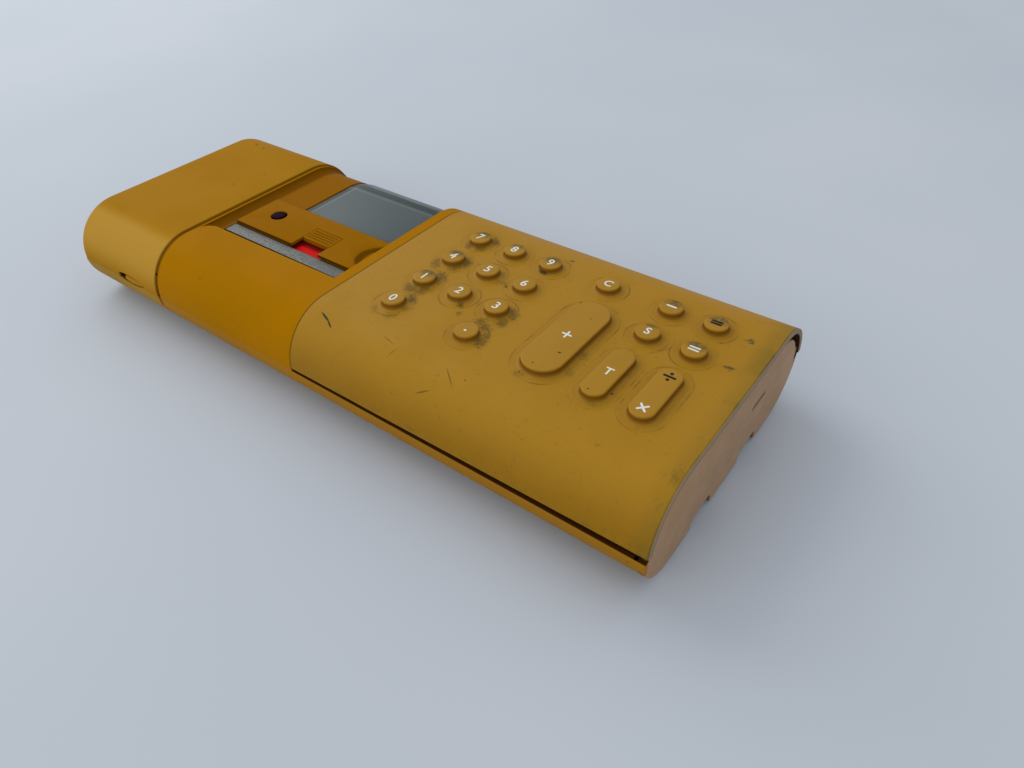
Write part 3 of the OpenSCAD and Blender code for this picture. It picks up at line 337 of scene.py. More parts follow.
def cut(piece, tool, how="DIFFERENCE"):
    """Cuts a tool's shape out of a piece, or joins or crosses the two, and throws the tool away."""
    change = piece.modifiers.new("change", "BOOLEAN")
    change.object = tool
    change.operation = how
    change.solver = "EXACT"
    apply_all(piece)
    bpy.data.objects.remove(tool)


def joined(pieces, name):
    """Joins several pieces into one."""
    bpy.ops.object.select_all(action="DESELECT")
    for piece in pieces:
        piece.select_set(True)
    bpy.context.view_layer.objects.active = pieces[0]
    bpy.ops.object.join()
    pieces[0].name = name
    return pieces[0]


# Painted shade: darker in the groove step at the left end, and near black on the rim top in the gap under the
# skin
groove_step_shade = ([("X", -92.25, -92.45)], 0.35, (0.22, 0.086, 0.0002))
rim_gap_shade = ([("Z", 19.75, 20.0), ("X", -5.0, -4.0)], 0.92, (0.035, 0.008, 0.002))
base_finish = amber_finish("base_plastic", (0.385, 0.176, 0.012), (0.355, 0.165, 0.016), (0.28, 0.16, 0.05),
                           0.46, rim_gap_shade, groove_step_shade)
case_half = 60.5
lip_wide, lip_low, lip_high, lip_rise, lip_reach = 1.5, 9, 20.1, 2.4, 1.6
step_x, step_y, step_z = -93.7, 61.7, 12
step_wide, step_deep, step_high = 2.6, 4, 30
tray = moulding("base_tray", "lower_tray")
lips = []
for side in (1, -1):
    lip = moulding("end_plate", "lip")
    trim(lip, ((0, side * (case_half - lip_wide), 0), (0, side, 0)), ((0, 0, lip_low), (0, 0, 1)),
         ((0, 0, lip_high), (0, 0, -1)))
    reshape(lip, lambda co: co.x < 151, (-lip_reach, 0, 0))
    if side > 0:
        reshape(lip, lambda co: co.z > 20, (0, 0, lip_rise))
    soften(lip, 0.35, 3, lambda co: co.x > 152)
    smooth()
    lips.append(lip)
for side in (1, -1):
    bpy.ops.object.select_all(action="DESELECT")
    bpy.ops.mesh.primitive_cube_add(size=1, location=(step_x * MM, side * step_y * MM, step_z * MM),
                                    scale=(step_wide * MM, step_deep * MM, step_high * MM))
    cut(tray, fixed())
round_edges(tray, 0.25)
tray = joined([tray] + lips, "lower_tray")
settle(tray, base_finish, "case", "base_amber", "base_tray")

# Printer housing. Its deck starts with a hollow cove along the power pack. A step round its left end makes
# the groove between the two, and the front left corner of the deck is rounded off into that groove.
# Painted shade: darker on the sunken deck, darker still in the cove along the pack and in the groove step,
# near black in the strip's channel
sunk_deck_shade = ([("Y", -27.2, -26.6), ("Z", 43.0, 42.2), ("X", -92.6, -92.2), ("X", -9.2, -10.2)],
             0.6, (0.20, 0.070, 0.0002))
cove_shade = ([("Y", -33.5, -29.0), ("Z", 42.9, 42.0), ("X", -92.8, -92.4), ("X", -85.6, -88.5)],
             0.6, (0.10, 0.032, 0.0002))
channel_shade = ([("Y", -27.3, -27.1), ("Y", -16.4, -16.7), ("Z", 39.75, 39.45), ("X", -86.4, -86.1),
                 ("X", -9.3, -9.6)], 0.95, (0.014, 0.007, 0.001))
housing_finish = amber_finish("housing_plastic", (0.40, 0.166, 0.0003), (0.375, 0.158, 0.0006),
                              (0.30, 0.14, 0.01), 0.42, sunk_deck_shade, cove_shade, groove_step_shade, channel_shade)
arc_y, arc_z = 37.8, 20.5
groove_left, cove_left, cove_right, cove_top, deck, clear = -95.0, -92.4, -86.0, 42.3, 40.2, 45.5
corner_x, corner_y, corner_r = -84.0, -35.4, 8.45
cove_wide, cove_high = cove_right - cove_left, cove_top - deck
step_line = [(groove_left, clear), (groove_left, cove_top), (cove_left, cove_top), (cove_left, clear)]
cove_line = step_line[:3]
for angle in [math.pi / 2 * i / 12 for i in range(1, 13)]:
    cove_line.append((cove_right - cove_wide * math.cos(angle), deck + cove_high * (1 - math.sin(angle))))
cove_line += [(cove_right + 0.01, deck + 0.02), (corner_x, deck + 0.02), (corner_x, clear)]


def draw_out(x, y, z):
    """Draws out what is picked by a step in mm."""
    bpy.ops.mesh.extrude_region_move(TRANSFORM_OT_translate={"value": (x * MM, y * MM, z * MM)})


def swept(line, y, run=0.0, turn=0.0):
    """An outline across the case (x, z in mm) at a depth y, run along the depth or turned round its side."""
    bpy.ops.object.select_all(action="DESELECT")
    bpy.ops.mesh.primitive_plane_add(size=MM, location=(0, 0, 0))
    piece = bpy.context.object
    edit(piece)
    bpy.ops.mesh.select_mode(type="VERT")
    bpy.ops.mesh.merge(type="CENTER")
    bpy.ops.transform.translate(value=(line[0][0] * MM, y * MM, line[0][1] * MM))
    for last, point in zip(line, line[1:]):
        draw_out(point[0] - last[0], 0, point[1] - last[1])
    bpy.ops.mesh.select_all(action="SELECT")
    bpy.ops.mesh.edge_face_add()
    if run:
        draw_out(0, run, 0)
    else:
        bpy.ops.mesh.spin(steps=28, angle=turn, center=(0, y * MM, arc_z * MM), axis=(1, 0, 0))
    bpy.ops.mesh.select_all(action="SELECT")
    bpy.ops.mesh.remove_doubles(threshold=2e-6)
    bpy.ops.mesh.normals_make_consistent(inside=False)
    edited()
    return piece


def turned(name, rings, reach=0.0, low_part=-1.0, hollow=False, points=64):
    """A round piece drawn up ring by ring (radius, height in mm), its halves parted in Y by a reach."""
    bpy.ops.object.select_all(action="DESELECT")
    radius, height = rings[0]
    bpy.ops.mesh.primitive_circle_add(vertices=points, radius=radius * MM, location=(0, 0, height * MM),
                                      rotation=(0, 0, math.pi / points),
                                      fill_type="NOTHING" if hollow else "NGON")
    piece = fixed()
    piece.name = name
    piece.data.name = name
    edit(piece)
    for wide, high in rings[1:]:
        draw_out(0, 0, high - height)
        bpy.ops.transform.resize(value=(wide / radius, wide / radius, 1), center_override=(0, 0, 0))
        radius, height = wide, high
    if hollow:
        bpy.ops.mesh.select_all(action="DESELECT")
        bpy.ops.mesh.select_non_manifold()
        bpy.ops.mesh.bridge_edge_loops()
    for side in (1, -1):
        if reach:
            pick(piece, lambda co: co.y * side > 0 and co.z > low_part)
            bpy.ops.transform.translate(value=(0, side * reach / 2 * MM, 0))
    bpy.ops.mesh.select_all(action="SELECT")
    bpy.ops.mesh.normals_make_consistent(inside=False)
    edited()
    return piece


def put(piece, x, y, z=0.0):
    """Moves a finished piece to its place in mm and leaves the place in its mesh."""
    alone(piece)
    piece.location = (x * MM, y * MM, z * MM)
    return fixed()


def thumb_hollow():
    """The half-moon hollow at the right end of the deck, as a cutting tool."""
    x, y, z, radius, stretch, wall_x = -9.7, -4.8, 55.4, 16, 1.15, -9.71
    bpy.ops.object.select_all(action="DESELECT")
    bpy.ops.mesh.primitive_uv_sphere_add(segments=96, ring_count=64, radius=radius * MM,
                                         location=(x * MM, y * MM, z * MM), scale=(1, stretch, 1))
    tool = fixed()
    edit(tool)
    bpy.ops.mesh.bisect(plane_co=(wall_x * MM, 0, 0), plane_no=(1, 0, 0), clear_outer=True, use_fill=True)
    edited()
    return tool


def rolled(co):
    """Points on the rolled edges: round the deck's front corner, along its front and at the groove."""
    out = math.hypot(max(abs(co.y) - arc_y, 0), co.z - arc_z)
    at_step = abs(co.x - cove_left) < 0.03 and out > 22.55 and co.y < -26.9
    at_corner = abs(math.hypot(co.x - corner_x, co.y - corner_y) - corner_r) < 0.05 and co.x < corner_x
    at_front = abs(co.y + 27) < 0.03 and co.x > cove_right - 2
    return at_step or (co.z > 43.15 and (at_corner or at_front))


def even_shading(piece):
    """Shades a moulding by its large faces, so that the small rounded edges leave no bands on them."""
    alone(piece)
    smooth()
    weigh = piece.modifiers.new("weigh", "WEIGHTED_NORMAL")
    weigh.keep_sharp = True
    weigh.weight = 90
    apply_all(piece)


housing = moulding("printer_housing", "printer_shell")
straight = swept(cove_line, corner_y, run=arc_y - corner_y)
cut(straight, put(turned("corner", [(corner_r, 38), (corner_r, 47)], points=96), corner_x, corner_y))
cut(housing, straight)
cut(housing, swept(cove_line, arc_y, turn=math.pi / 2))
cut(housing, swept(step_line, -arc_y, run=2 * arc_y))
cut(housing, swept(step_line, -arc_y, turn=-math.pi / 2))
cut(housing, thumb_hollow())
soften(housing, 0.8, 4, rolled)
soften(housing, 0.3, 3, lambda co: co.z > 20.6)
seam_drop = (0, 0, -0.3)
reshape(housing, lambda co: co.z < 20.55 and abs(co.y) > 56, seam_drop)
even_shading(housing)
settle(housing, housing_finish, "case", "housing_amber", "printer_housing")

# Power pack. Two shells that meet in a fine seam, with a painted highlight along the front shoulder. The slot
# of the release latch lies across the seam in the front wall.
# Painted shade in the groove at the pack's right end and near black inside the latch slot; a painted
# highlight on the front shoulder. The paler tone at the foot is partly dust and partly painted light.
groove_edge_shade = ([("X", -95.2, -94.8)], 0.3, (0.16, 0.068, 0.002))
slot_shade = ([("X", -125.4, -125.2), ("X", -104.6, -104.9), ("Z", 18.4, 18.7), ("Z", 23.9, 23.6),
              ("Y", -60.1, -59.5), ("Y", -51.0, -52.0)], 0.9, (0.03, 0.010, 0.001))
painted_shoulder_sheen = ([("Z", 43.1, 40.5), ("Z", 19.0, 33.0), ("Y", -38.0, -41.0)], 0.9, (0.50, 0.275, 0.040))
pack_marks = [((-141.7, 40.5, 1.7, 0.5, 150, 0.5), 0.6, (0.12, 0.06, 0.006)),
              ((-134.6, 39.4, 1.5, 0.5, 150, 0.5), 0.6, (0.12, 0.06, 0.006)),
              ((-109.5, 19.7, 1.2, 0.35, 20, 0.6), 0.5, (0.16, 0.07, 0.004))]
pack_finish = amber_finish("pack_plastic", (0.390, 0.181, 0.004), (0.365, 0.170, 0.006), (0.37, 0.205, 0.028),
                           0.44, painted_shoulder_sheen, groove_edge_shade, slot_shade, marks=pack_marks)
# The lower shell is painted paler and more tan than the upper one, as painted light thrown up from the table;
# its foot tone too
pack_low_bounce_lit_finish = amber_finish("pack_low_bounce_lit_plastic", (0.388, 0.215, 0.028), (0.360, 0.203, 0.034),
                               (0.30, 0.20, 0.09), 0.46, slot_shade)
boat_x, boat_z, boat_run = -114.2, 21.2, 4.75
slot_long, slot_high, slot_left, slot_near, slot_far = 9.2, 2.15, -120.15, -62, -54


def boat(name, long, high, left, near, far):
    """A boat-shaped block in the front of the pack: two drums crossed, the left tip cut off square."""
    radius = (long ** 2 + high ** 2) / (2 * high)
    drums = []
    for side in (1, -1):
        bpy.ops.object.select_all(action="DESELECT")
        middle = (boat_x * MM, (near + far) / 2 * MM, (boat_z + side * (radius - high)) * MM)
        bpy.ops.mesh.primitive_cylinder_add(vertices=256, radius=radius * MM, depth=(far - near) * MM,
                                            rotation=(math.pi / 2, 0, 0), location=middle)
        drums.append(fixed())
    cut(drums[0], drums[1], "INTERSECT")
    drums[0].name = name
    trim(drums[0], ((left, 0, 0), (1, 0, 0)))
    return drums[0]


def slotted(node, name):
    """A shell of the pack: front wall made whole from the wall beside it, and the boat's path cut in it."""
    shell = moulding(node, name)
    patch = moulding(node, "patch")
    back, left, right, shift = -52, -149.5, -127, 23.5
    trim(patch, ((0, back, 0), (0, -1, 0)), ((left, 0, 0), (1, 0, 0)), ((right, 0, 0), (-1, 0, 0)))
    reshape(patch, lambda co: True, (shift, 0, 0))
    cut(shell, patch, "UNION")
    path = boat("path", slot_long, slot_high, slot_left, slot_near, slot_far)
    reshape(path, lambda co: co.x < boat_x - 0.01, (-boat_run, 0, 0))
    cut(shell, path)
    return shell


pack_top = slotted("pack_cover", "pack_top_shell")
soften(pack_top, 1.2, 5, lambda co: co.x > -94.65)
soften(pack_top, 0.9, 4, lambda co: co.x < -153.95)
reshape(pack_top, lambda co: co.z < 20.55 and not (co.x > -96 and abs(co.y) < 56), seam_drop)
even_shading(pack_top)
settle(pack_top, pack_finish, "power_pack", "housing_amber", "pack_cover")
pack_low = slotted("pack_base", "pack_low_shell")
# Its foot is rounded, but the edges of the slot stay crisp
soften(pack_low, 0.4, 3, lambda co: co.z < 19.9 and not (-126.5 < co.x < -103 and co.y < -50))
smooth()
settle(pack_low, pack_low_bounce_lit_finish, "power_pack", "base_amber", "pack_base")

# Rubber skin over the keyboard. One soft amber moulding, 2 mm thick, wrapped over the stiff frame from the
# front foot to the back foot and left loose along its lower edge, which hangs a little higher at the right.
skin_left, skin_right, skin_top, skin_thick = -4.4, 154.0, 43.2, 2.0
edge_left, edge_rise = 21.4, 1.5
arc_r = skin_top - arc_z
skin_length = skin_right - skin_left
columns = [22.5 + 18 * c for c in (0, 1, 2, 3.5, 3.75, 5, 6)]
rows = (-26.0, -8.0, 10.0, 28.0)
# Every key: its name, middle x and y, width and how far its two round ends lie apart, in mm
KEY_PLACES = [("key_%d" % (3 * row - 2 + c), columns[c], rows[row], 9, 0)
              for row in (3, 2, 1) for c in range(3)]
KEY_PLACES += [("key_" + name, columns[c], rows[row], 9, 0) for name, c, row in (
    ("0", 0, 0), ("point", 2, 0), ("clear", 3, 3), ("minus", 5, 3), ("double_bar", 6, 3), ("subtotal", 5, 2),
    ("equals", 6, 2))]
KEY_PLACES += [("key_plus", columns[4], rows[1], 16, 29), ("key_total", columns[5], rows[0] + 9, 9, 18),
               ("key_times_divide", columns[6], rows[0] + 9, 9, 18)]

bpy.ops.object.select_all(action="DESELECT")
front_edge = ((skin_left + skin_right) / 2 * MM, (skin_length / 2 - arc_y - arc_r) * MM, arc_z * MM)
bpy.ops.mesh.primitive_plane_add(size=skin_length * MM, location=front_edge)
skin = fixed()
skin.name = "rubber_skin"
edit(skin)
pick(skin, lambda co: co.y > 0)
bpy.ops.mesh.delete(type="VERT")
bpy.ops.mesh.select_all(action="SELECT")
bpy.ops.mesh.subdivide(number_cuts=23)
bpy.ops.mesh.spin(steps=28, angle=math.pi / 2, center=(0, -arc_y * MM, arc_z * MM), axis=(1, 0, 0))
draw_out(0, 2 * arc_y, 0)
bpy.ops.mesh.spin(steps=28, angle=math.pi / 2, center=(0, arc_y * MM, arc_z * MM), axis=(1, 0, 0))
bpy.ops.mesh.select_all(action="SELECT")
bpy.ops.mesh.remove_doubles(threshold=1e-6)
bpy.ops.mesh.normals_make_consistent(inside=False)
bpy.ops.mesh.bisect(plane_co=(skin_left * MM, 0, edge_left * MM), plane_no=(-edge_rise / skin_length, 0, 1),
                    clear_inner=True)
edited()
wall = skin.modifiers.new("wall", "SOLIDIFY")
wall.thickness = skin_thick * MM
wall.offset = -1
apply_all(skin)
round_edges(skin, 0.45, 3, 60)
# Curves round each key: how far outside its edge, and the height, for the crease over the skin's top
fillet_curve = [(2.3, 42.4), (2.3, 43.18), (1.6, 43.25), (1.05, 43.38), (0.65, 43.58), (0.36, 43.86),
                (0.16, 44.15), (-0.5, 44.15)]
crease_curve = [(4.6, 0.2), (3.95, -0.12), (3.7, -0.12), (3.1, 0.2)]
hole_play, hole_low, hole_high = 0.12, 40, 46
fillets, holes, creases = [], [], []
for name, x, y, width, reach in KEY_PLACES:
    r = width / 2
    rise = [(r + out, high) for out, high in fillet_curve]
    fillets.append(put(turned("fillet", rise, reach), x, y))
    drop = [(r + hole_play, high) for high in (hole_low, hole_high)]
    holes.append(put(turned("hole", drop, reach), x, y))
    ring = [(r + out, skin_top + over) for out, over in crease_curve]
    creases.append(put(turned("crease", ring, reach, hollow=True), x, y))
cut(skin, joined(fillets, "fillets"), "UNION")
cut(skin, joined(holes, "holes"))
cut(skin, joined(creases, "creases"))
even_shading(skin)

# Rubbed-in dirt by the keys, single spots, pen marks and scratches: x, y, half sizes, turn, softness
key_dirt = [(*place, 132, 0.9) for place in (
    (26.3, -19.8, 4.2, 1.9), (19.6, -14.9, 4.0, 2.0), (25.8, -13.9, 2.8, 3.3), (26.0, -2.3, 4.2, 2.8),
    (17.4, 4.5, 3.8, 2.3), (27.3, 11.6, 3.8, 2.7), (26.2, 6.4, 2.8, 2.8), (20.0, 23.5, 3.0, 1.6),
    (25.4, 24.0, 2.4, 2.5), (27.8, 31.6, 3.6, 2.0), (40.9, 7.9, 2.2, 2.6), (44.6, -12.7, 2.0, 1.3),
    (47.6, -17.2, 1.6, 1.4), (64.6, -6.6, 4.4, 2.4), (64.2, -12.2, 3.6, 2.8), (57.2, -16.1, 2.2, 2.6),
    (61.6, -18.6, 3.0, 2.6), (65.0, -26.0, 3.4, 3.0), (64.8, -22.0, 2.4, 1.6))]
key_dirt.append((22.0, -15.4, 3.0, 2.4, 30, 0.9))
faint_dirt = [(*place, 0.8) for place in (
    (18.8, -33.1, 2.9, 1.5, 132), (26.8, -32.8, 2.0, 3.1, 132), (28.9, -26.0, 1.9, 2.6, 132),
    (46.2, 12.9, 3.0, 1.5, 132), (48.5, 8.1, 2.2, 3.0, 132), (86.7, -32.3, 2.6, 2.5, 132),
    (100.2, -22.1, 2.6, 1.9, 132), (99.0, -11.9, 2.6, 2.4, 132), (115.9, -12.7, 2.0, 3.6, 0),
    (114.3, -31.1, 3.4, 1.6, 0), (151.5, -42.0, 4.2, 2.0, 110))]
dark_marks = [
    (58.0, 23.2, 2.0, 1.0, -10, 0.5), (51.5, 7.1, 0.75, 0.5, 132, 0.5), (81.9, 14.3, 0.8, 0.6, 132, 0.5),
    (128.0, 26.4, 0.8, 0.6, 132, 0.5), (118.0, -23.5, 0.5, 0.35, 30, 0.4), (72.9, -44.7, 0.3, 0.25, 0, 0.4),
    (63.0, 37.2, 0.9, 0.5, 10, 0.5), (86.2, -31.5, 0.35, 0.3, 0, 0.4)]
green_marks = [
    (143.2, 28.6, 1.9, 0.7, 30, 0.5), (144.2, 28.4, 1.6, 0.6, -55, 0.5), (143.8, 27.4, 0.8, 0.7, 0, 0.5),
    (143.4, 10.6, 1.9, 0.8, 15, 0.6), (144.4, 9.8, 1.0, 0.6, 60, 0.6)]
ink_marks = [(5.4, -46.1, 3.1, 0.42, -19, 0.35), (9.2, -47.8, 1.9, 0.34, -28, 0.35)]
scratches = [
    (67.0, -46.0, 3.8, 0.22, -38, 0.5), (60.6, -53.4, 2.5, 0.24, 25, 0.5), (118.2, 2.9, 1.3, 0.16, 35, 0.4),
    (120.9, 6.5, 3.4, 0.16, 61, 0.4), (41.0, -47.0, 2.2, 0.16, 70, 0.5), (36.0, -43.5, 2.8, 0.18, -12, 0.6)]

# Worn matt rubber, mottled. The top is painted lighter than its sides, as painted light from above
painted_top_light = (0.405, 0.205, 0.011)
coat = Finish("skin_rubber", (0.320, 0.152, 0.0006))
clouds = coat.noise(36, 6)
fine = coat.noise(520, 5, 0.65)
height = coat.calc("ADD", coat.along("Z"), coat.times(coat.calc("SUBTRACT", clouds, 0.5), 0.012))
coat.tint(painted_top_light, height, 0.026, 0.0425)
coat.tint(tuple(c * 0.86 for c in painted_top_light), clouds, 0.42, 0.75, 0.0, 0.35)
coat.tint((0.12, 0.065, 0.012), coat.noise(900, 2, 0.5), 0.74, 0.80, 0.0, 0.5)
# Shade and dirt round the keys, by how far a point lies outside the edge of the nearest key
gaps = []
for name, x, y, width, reach in KEY_PLACES:
    at = coat.node("VectorMath", coat.place, (x * MM, y * MM, 0), operation="SUBTRACT").outputs["Vector"]
    apart = coat.node("SeparateXYZ", at).outputs
    run = coat.largest(coat.calc("SUBTRACT", coat.calc("ABSOLUTE", apart["Y"]), reach / 2 * MM), 0.0)
    square = coat.calc("ADD", coat.times(run, run), coat.times(apart["X"], apart["X"]))
    gaps.append(coat.calc("SUBTRACT", coat.calc("SQRT", square), width / 2 * MM))
away = reduce(lambda first, second: coat.calc("MINIMUM", first, second), gaps)
near = coat.times(coat.spread(away, 0.0002, 0.0042, 0.3, 0.0), coat.spread(clouds, 0.35, 0.7, 0.2, 1.0))
coat.tint((0.19, 0.095, 0.006), near)
coat.tint((0.20, 0.080, 0.001), away, 0.0003, 0.0011, 0.8, 0.0)
ring = coat.spread(coat.off(away, 0.0038), 0.0001, 0.0005, 0.55, 0.0)
coat.tint((0.15, 0.075, 0.008), coat.times(ring, coat.spread(coat.noise(90, 3), 0.42, 0.64)))
grit = coat.noise(900, 4, 0.65)
blots = coat.noise(260, 4, 0.6)
mottle = coat.calc("ADD", coat.times(coat.calc("SUBTRACT", grit, 0.5), 2.0),
                   coat.times(coat.calc("SUBTRACT", blots, 0.5), 1.5))
rubbed = coat.calc("ADD", coat.strokes(key_dirt), mottle)
coat.tint((0.150, 0.086, 0.007), rubbed, 0.15, 1.05, 0.0, 0.75)
coat.tint((0.052, 0.037, 0.006), rubbed, 0.95, 1.50, 0.0, 0.75)
coat.tint((0.135, 0.090, 0.010), coat.calc("ADD", coat.strokes(faint_dirt), mottle), 0.25, 1.35, 0.0, 0.5)
coat.tint((0.022, 0.020, 0.012), coat.times(coat.strokes(dark_marks), 0.85))
green = coat.times(coat.strokes(green_marks), coat.spread(grit, 0.35, 0.6, 0.2, 0.9))
coat.tint((0.020, 0.050, 0.022), green)
coat.tint((0.022, 0.042, 0.014), coat.strokes(ink_marks))
coat.tint((0.10, 0.05, 0.008), coat.times(coat.strokes(scratches), 0.7))
# Grime at the right end, along the left joint and the right rim, and at the foot
end = coat.spread(coat.along("X"), 0.1440, 0.1540, 0.0, 0.75)
coat.tint((0.175, 0.118, 0.010), coat.times(end, coat.spread(clouds, 0.36, 0.62, 0.35, 1.0)))
coat.tint((0.11, 0.055, 0.004), coat.along("X"), -0.0043, -0.0037, 0.75, 0.0)
line = coat.spread(coat.along("X"), 0.1529, 0.1533, 0.0, 0.8)
coat.tint((0.075, 0.062, 0.020), coat.times(line, coat.spread(clouds, 0.35, 0.6, 0.4, 1.0)))
low = coat.spread(coat.along("Z"), 0.021, 0.030, 0.5, 0.0)
coat.tint((0.17, 0.10, 0.01), coat.times(low, coat.spread(fine, 0.45, 0.7)))
# Painted shade on the inner face, and the pale cut face at the right end
over = coat.largest(coat.calc("SUBTRACT", coat.calc("ABSOLUTE", coat.along("Y")), arc_y * MM), 0.0)
up = coat.calc("SUBTRACT", coat.along("Z"), arc_z * MM)
out = coat.calc("SQRT", coat.calc("ADD", coat.times(over, over), coat.times(up, up)))
coat.tint((0.050, 0.013, 0.003), out, 0.0212, 0.0219, 0.95, 0.0)
coat.tint((0.27, 0.20, 0.135), coat.along("X"), 0.15365, 0.15385, 0.0, 0.9)
coat.relief(coat.calc("ADD", coat.times(coat.noise(1900, 3), 0.5), coat.times(fine, 0.6)), 0.00005, 0.4)
skin_finish = coat.done(coat.spread(clouds, 0.3, 0.7, 0.52, 0.66), Specular_IOR_Level=0.14)
settle(skin, skin_finish, "case", "skin_rubber", "keyboard_skin")

# Keys. Short flat caps of the same rubber as the skin, round or long, on a stiff flange that stops them under
# the frame and a plunger that pushes the contact dome. The top rim has a small radius.
key_grime = [(*place, 0, 0.6) for place in (
    (22.3, 13.2, 4.0, 2.6), (22.3, -4.8, 4.0, 2.8), (22.3, 31.0, 4.0, 2.8), (40.3, 31.2, 4.0, 2.2),
    (58.3, 30.6, 4.0, 3.0), (112.5, 30.9, 4.2, 2.4), (130.5, 30.6, 4.2, 3.2), (130.5, 12.6, 4.2, 2.6),
    (112.0, 13.8, 3.0, 1.2))]
key_specks = [(93.5, -18, 0.6, 0.4, 20, 0.4), (89, -27.6, 0.3, 0.35, 0, 0.4), (81.9, -21.6, 0.3, 0.3, 0, 0.4),
              (111.6, -28.2, 0.45, 0.25, 0, 0.4), (92.2, 4.6, 0.3, 0.25, 0, 0.4)]
coat = Finish("key_rubber", (0.40, 0.205, 0.014))
clouds = coat.noise(60, 5)
fine = coat.noise(520, 5, 0.65)
coat.tint((0.375, 0.195, 0.016), clouds, 0.35, 0.7)
# Painted shade: the sides of each cap darker below its top
coat.tint((0.20, 0.078, 0.0006), coat.along("Z"), 0.0450, 0.0457, 0.9, 0.0)
grime = coat.times(coat.strokes(key_grime), coat.spread(fine, 0.35, 0.6, 0.35, 0.9))
coat.tint((0.12, 0.085, 0.02), coat.times(grime, coat.spread(coat.along("Z"), 0.0452, 0.0457)))
coat.tint((0.05, 0.03, 0.006), coat.strokes(key_specks))
coat.relief(coat.calc("ADD", coat.noise(1900, 3), fine), 0.00004, 0.35)
key_finish = coat.done(coat.spread(clouds, 0.3, 0.7, 0.48, 0.62), Specular_IOR_Level=0.14)
plunger_r, plunger_low, flange_low, flange_top, flange_wide, side_top = 2.0, 35.55, 37.75, 38.95, 0.9, 45.55
top_rim = [(0.06, 45.72), (0.18, 45.85), (0.38, 45.93), (0.6, 45.95)]
plunger_top = 37.0
for name, x, y, width, reach in KEY_PLACES:
    r = width / 2
    rings = [(plunger_r, plunger_low), (plunger_r, flange_low), (r + flange_wide, flange_low),
             (r + flange_wide, flange_top), (r, flange_top), (r, side_top)]
    rings += [(r - inset, high) for inset, high in top_rim]
    cap = put(turned(name + "_cap", rings, reach, plunger_top), x, y)
    smooth()
    settle(cap, key_finish, name, "key_rubber", name)


# Legends. Printed on the caps in white, two of them in black, a little rubbed at the edges. Each is a film
# that ends flush with the highest point of its cap.
def print_finish(name, ink, rubbed):
    """Printing ink on rubber, thinned by wear."""
    coat = Finish(name, ink)
    coat.tint(rubbed, coat.noise(1500, 4, 0.6), 0.52, 0.68, 0.0, 0.55)
    return coat.done(coat.spread(coat.noise(300, 3), 0.3, 0.7, 0.5, 0.65), Specular_IOR_Level=0.12)


white_print = print_finish("white_print", (0.80, 0.80, 0.76), (0.62, 0.56, 0.40))
black_print = print_finish("black_print", (0.010, 0.009, 0.008), (0.035, 0.026, 0.012))
film_low, film_high = 45.94, 46.0


def letters(body, size):
    """A printed sign drawn from type, its middle at the origin."""
    bpy.ops.object.select_all(action="DESELECT")
    bpy.ops.object.text_add()
    sign = bpy.context.object
    sign.data.body = body
    sign.data.align_x = "CENTER"
    sign.data.align_y = "CENTER"
    sign.data.size = size * MM
    sign.data.extrude = (film_high - film_low) / 2 * MM
    sign.data.resolution_u = 4
    sign.data.offset = 0.00006
    bpy.ops.object.convert(target="MESH")
    sign = bpy.context.object
    low, high = [Vector(f(c[i] for c in sign.bound_box) for i in range(3)) for f in (min, max)]
    edit(sign)
    bpy.ops.mesh.remove_doubles(threshold=1e-7)
    bpy.ops.transform.translate(value=-(low + high) / 2)
    edited()
    return put(sign, 0, 0, (film_low + film_high) / 2)


def bar(y, length, wide, angle=0.0, sunk=0.0):
    """A printed stroke with round ends, drawn out along X and turned about its middle at a place y."""
    r = wide / 2
    piece = turned("sign", [(r, film_low - sunk), (r, film_high - sunk)], length - wide, points=16)
    piece.rotation_euler = (0, 0, math.radians(angle - 90))
    return put(piece, 0, y)


under, digit_size, letter_size = 0.006, 5.7, 5.2
signs = {"key_%d" % digit: [letters(str(digit), digit_size)] for digit in range(10)}
for name, letter in (("key_clear", "C"), ("key_subtotal", "S"), ("key_total", "T")):
    signs[name] = [letters(letter, letter_size)]
signs["key_point"] = [bar(-0.6, 1.06, 1.0)]
signs["key_minus"] = [bar(0, 4.2, 0.8)]
signs["key_equals"] = [bar(0.75, 4.2, 0.75), bar(-0.75, 4.2, 0.75)]
signs["key_double_bar"] = [bar(0.7, 4.4, 1.0), bar(-0.7, 4.4, 1.0)]
signs["key_plus"] = [bar(0, 4.2, 0.75), bar(0, 4.2, 0.75, 90, under)]
signs["key_times_divide"] = [bar(-9, 4.6, 0.8, 45), bar(-9, 4.6, 0.8, -45, under)]
for name, x, y, width, reach in KEY_PLACES:
    sign = put(joined(signs[name], name + "_legend"), x, y)
    settle(sign, black_print if name == "key_double_bar" else white_print, name)
divide = [bar(9, 4.8, 0.95), bar(10.7, 1.27, 1.25), bar(7.3, 1.27, 1.25)]
sign = put(joined(divide, "key_divide_legend"), columns[6], rows[0] + 9)
settle(sign, black_print, "key_times_divide")

# End plate. A flat tan moulding pushed in between the skin and the foot of the case at the right end, with
# two notches along its foot and a coin groove for prising it out. Scuffed, with painted shade in the notches.
coat = Finish("plate_plastic", (0.415, 0.258, 0.146))
clouds = coat.noise(90, 6)
coat.tint((0.395, 0.245, 0.138), clouds, 0.35, 0.7)
coat.tint((0.17, 0.11, 0.06), coat.noise(70, 4, 0.6), 0.60, 0.80, 0.0, 0.25)
coat.tint((0.09, 0.06, 0.035), coat.noise(620, 2, 0.4), 0.70, 0.76, 0.0, 0.7)
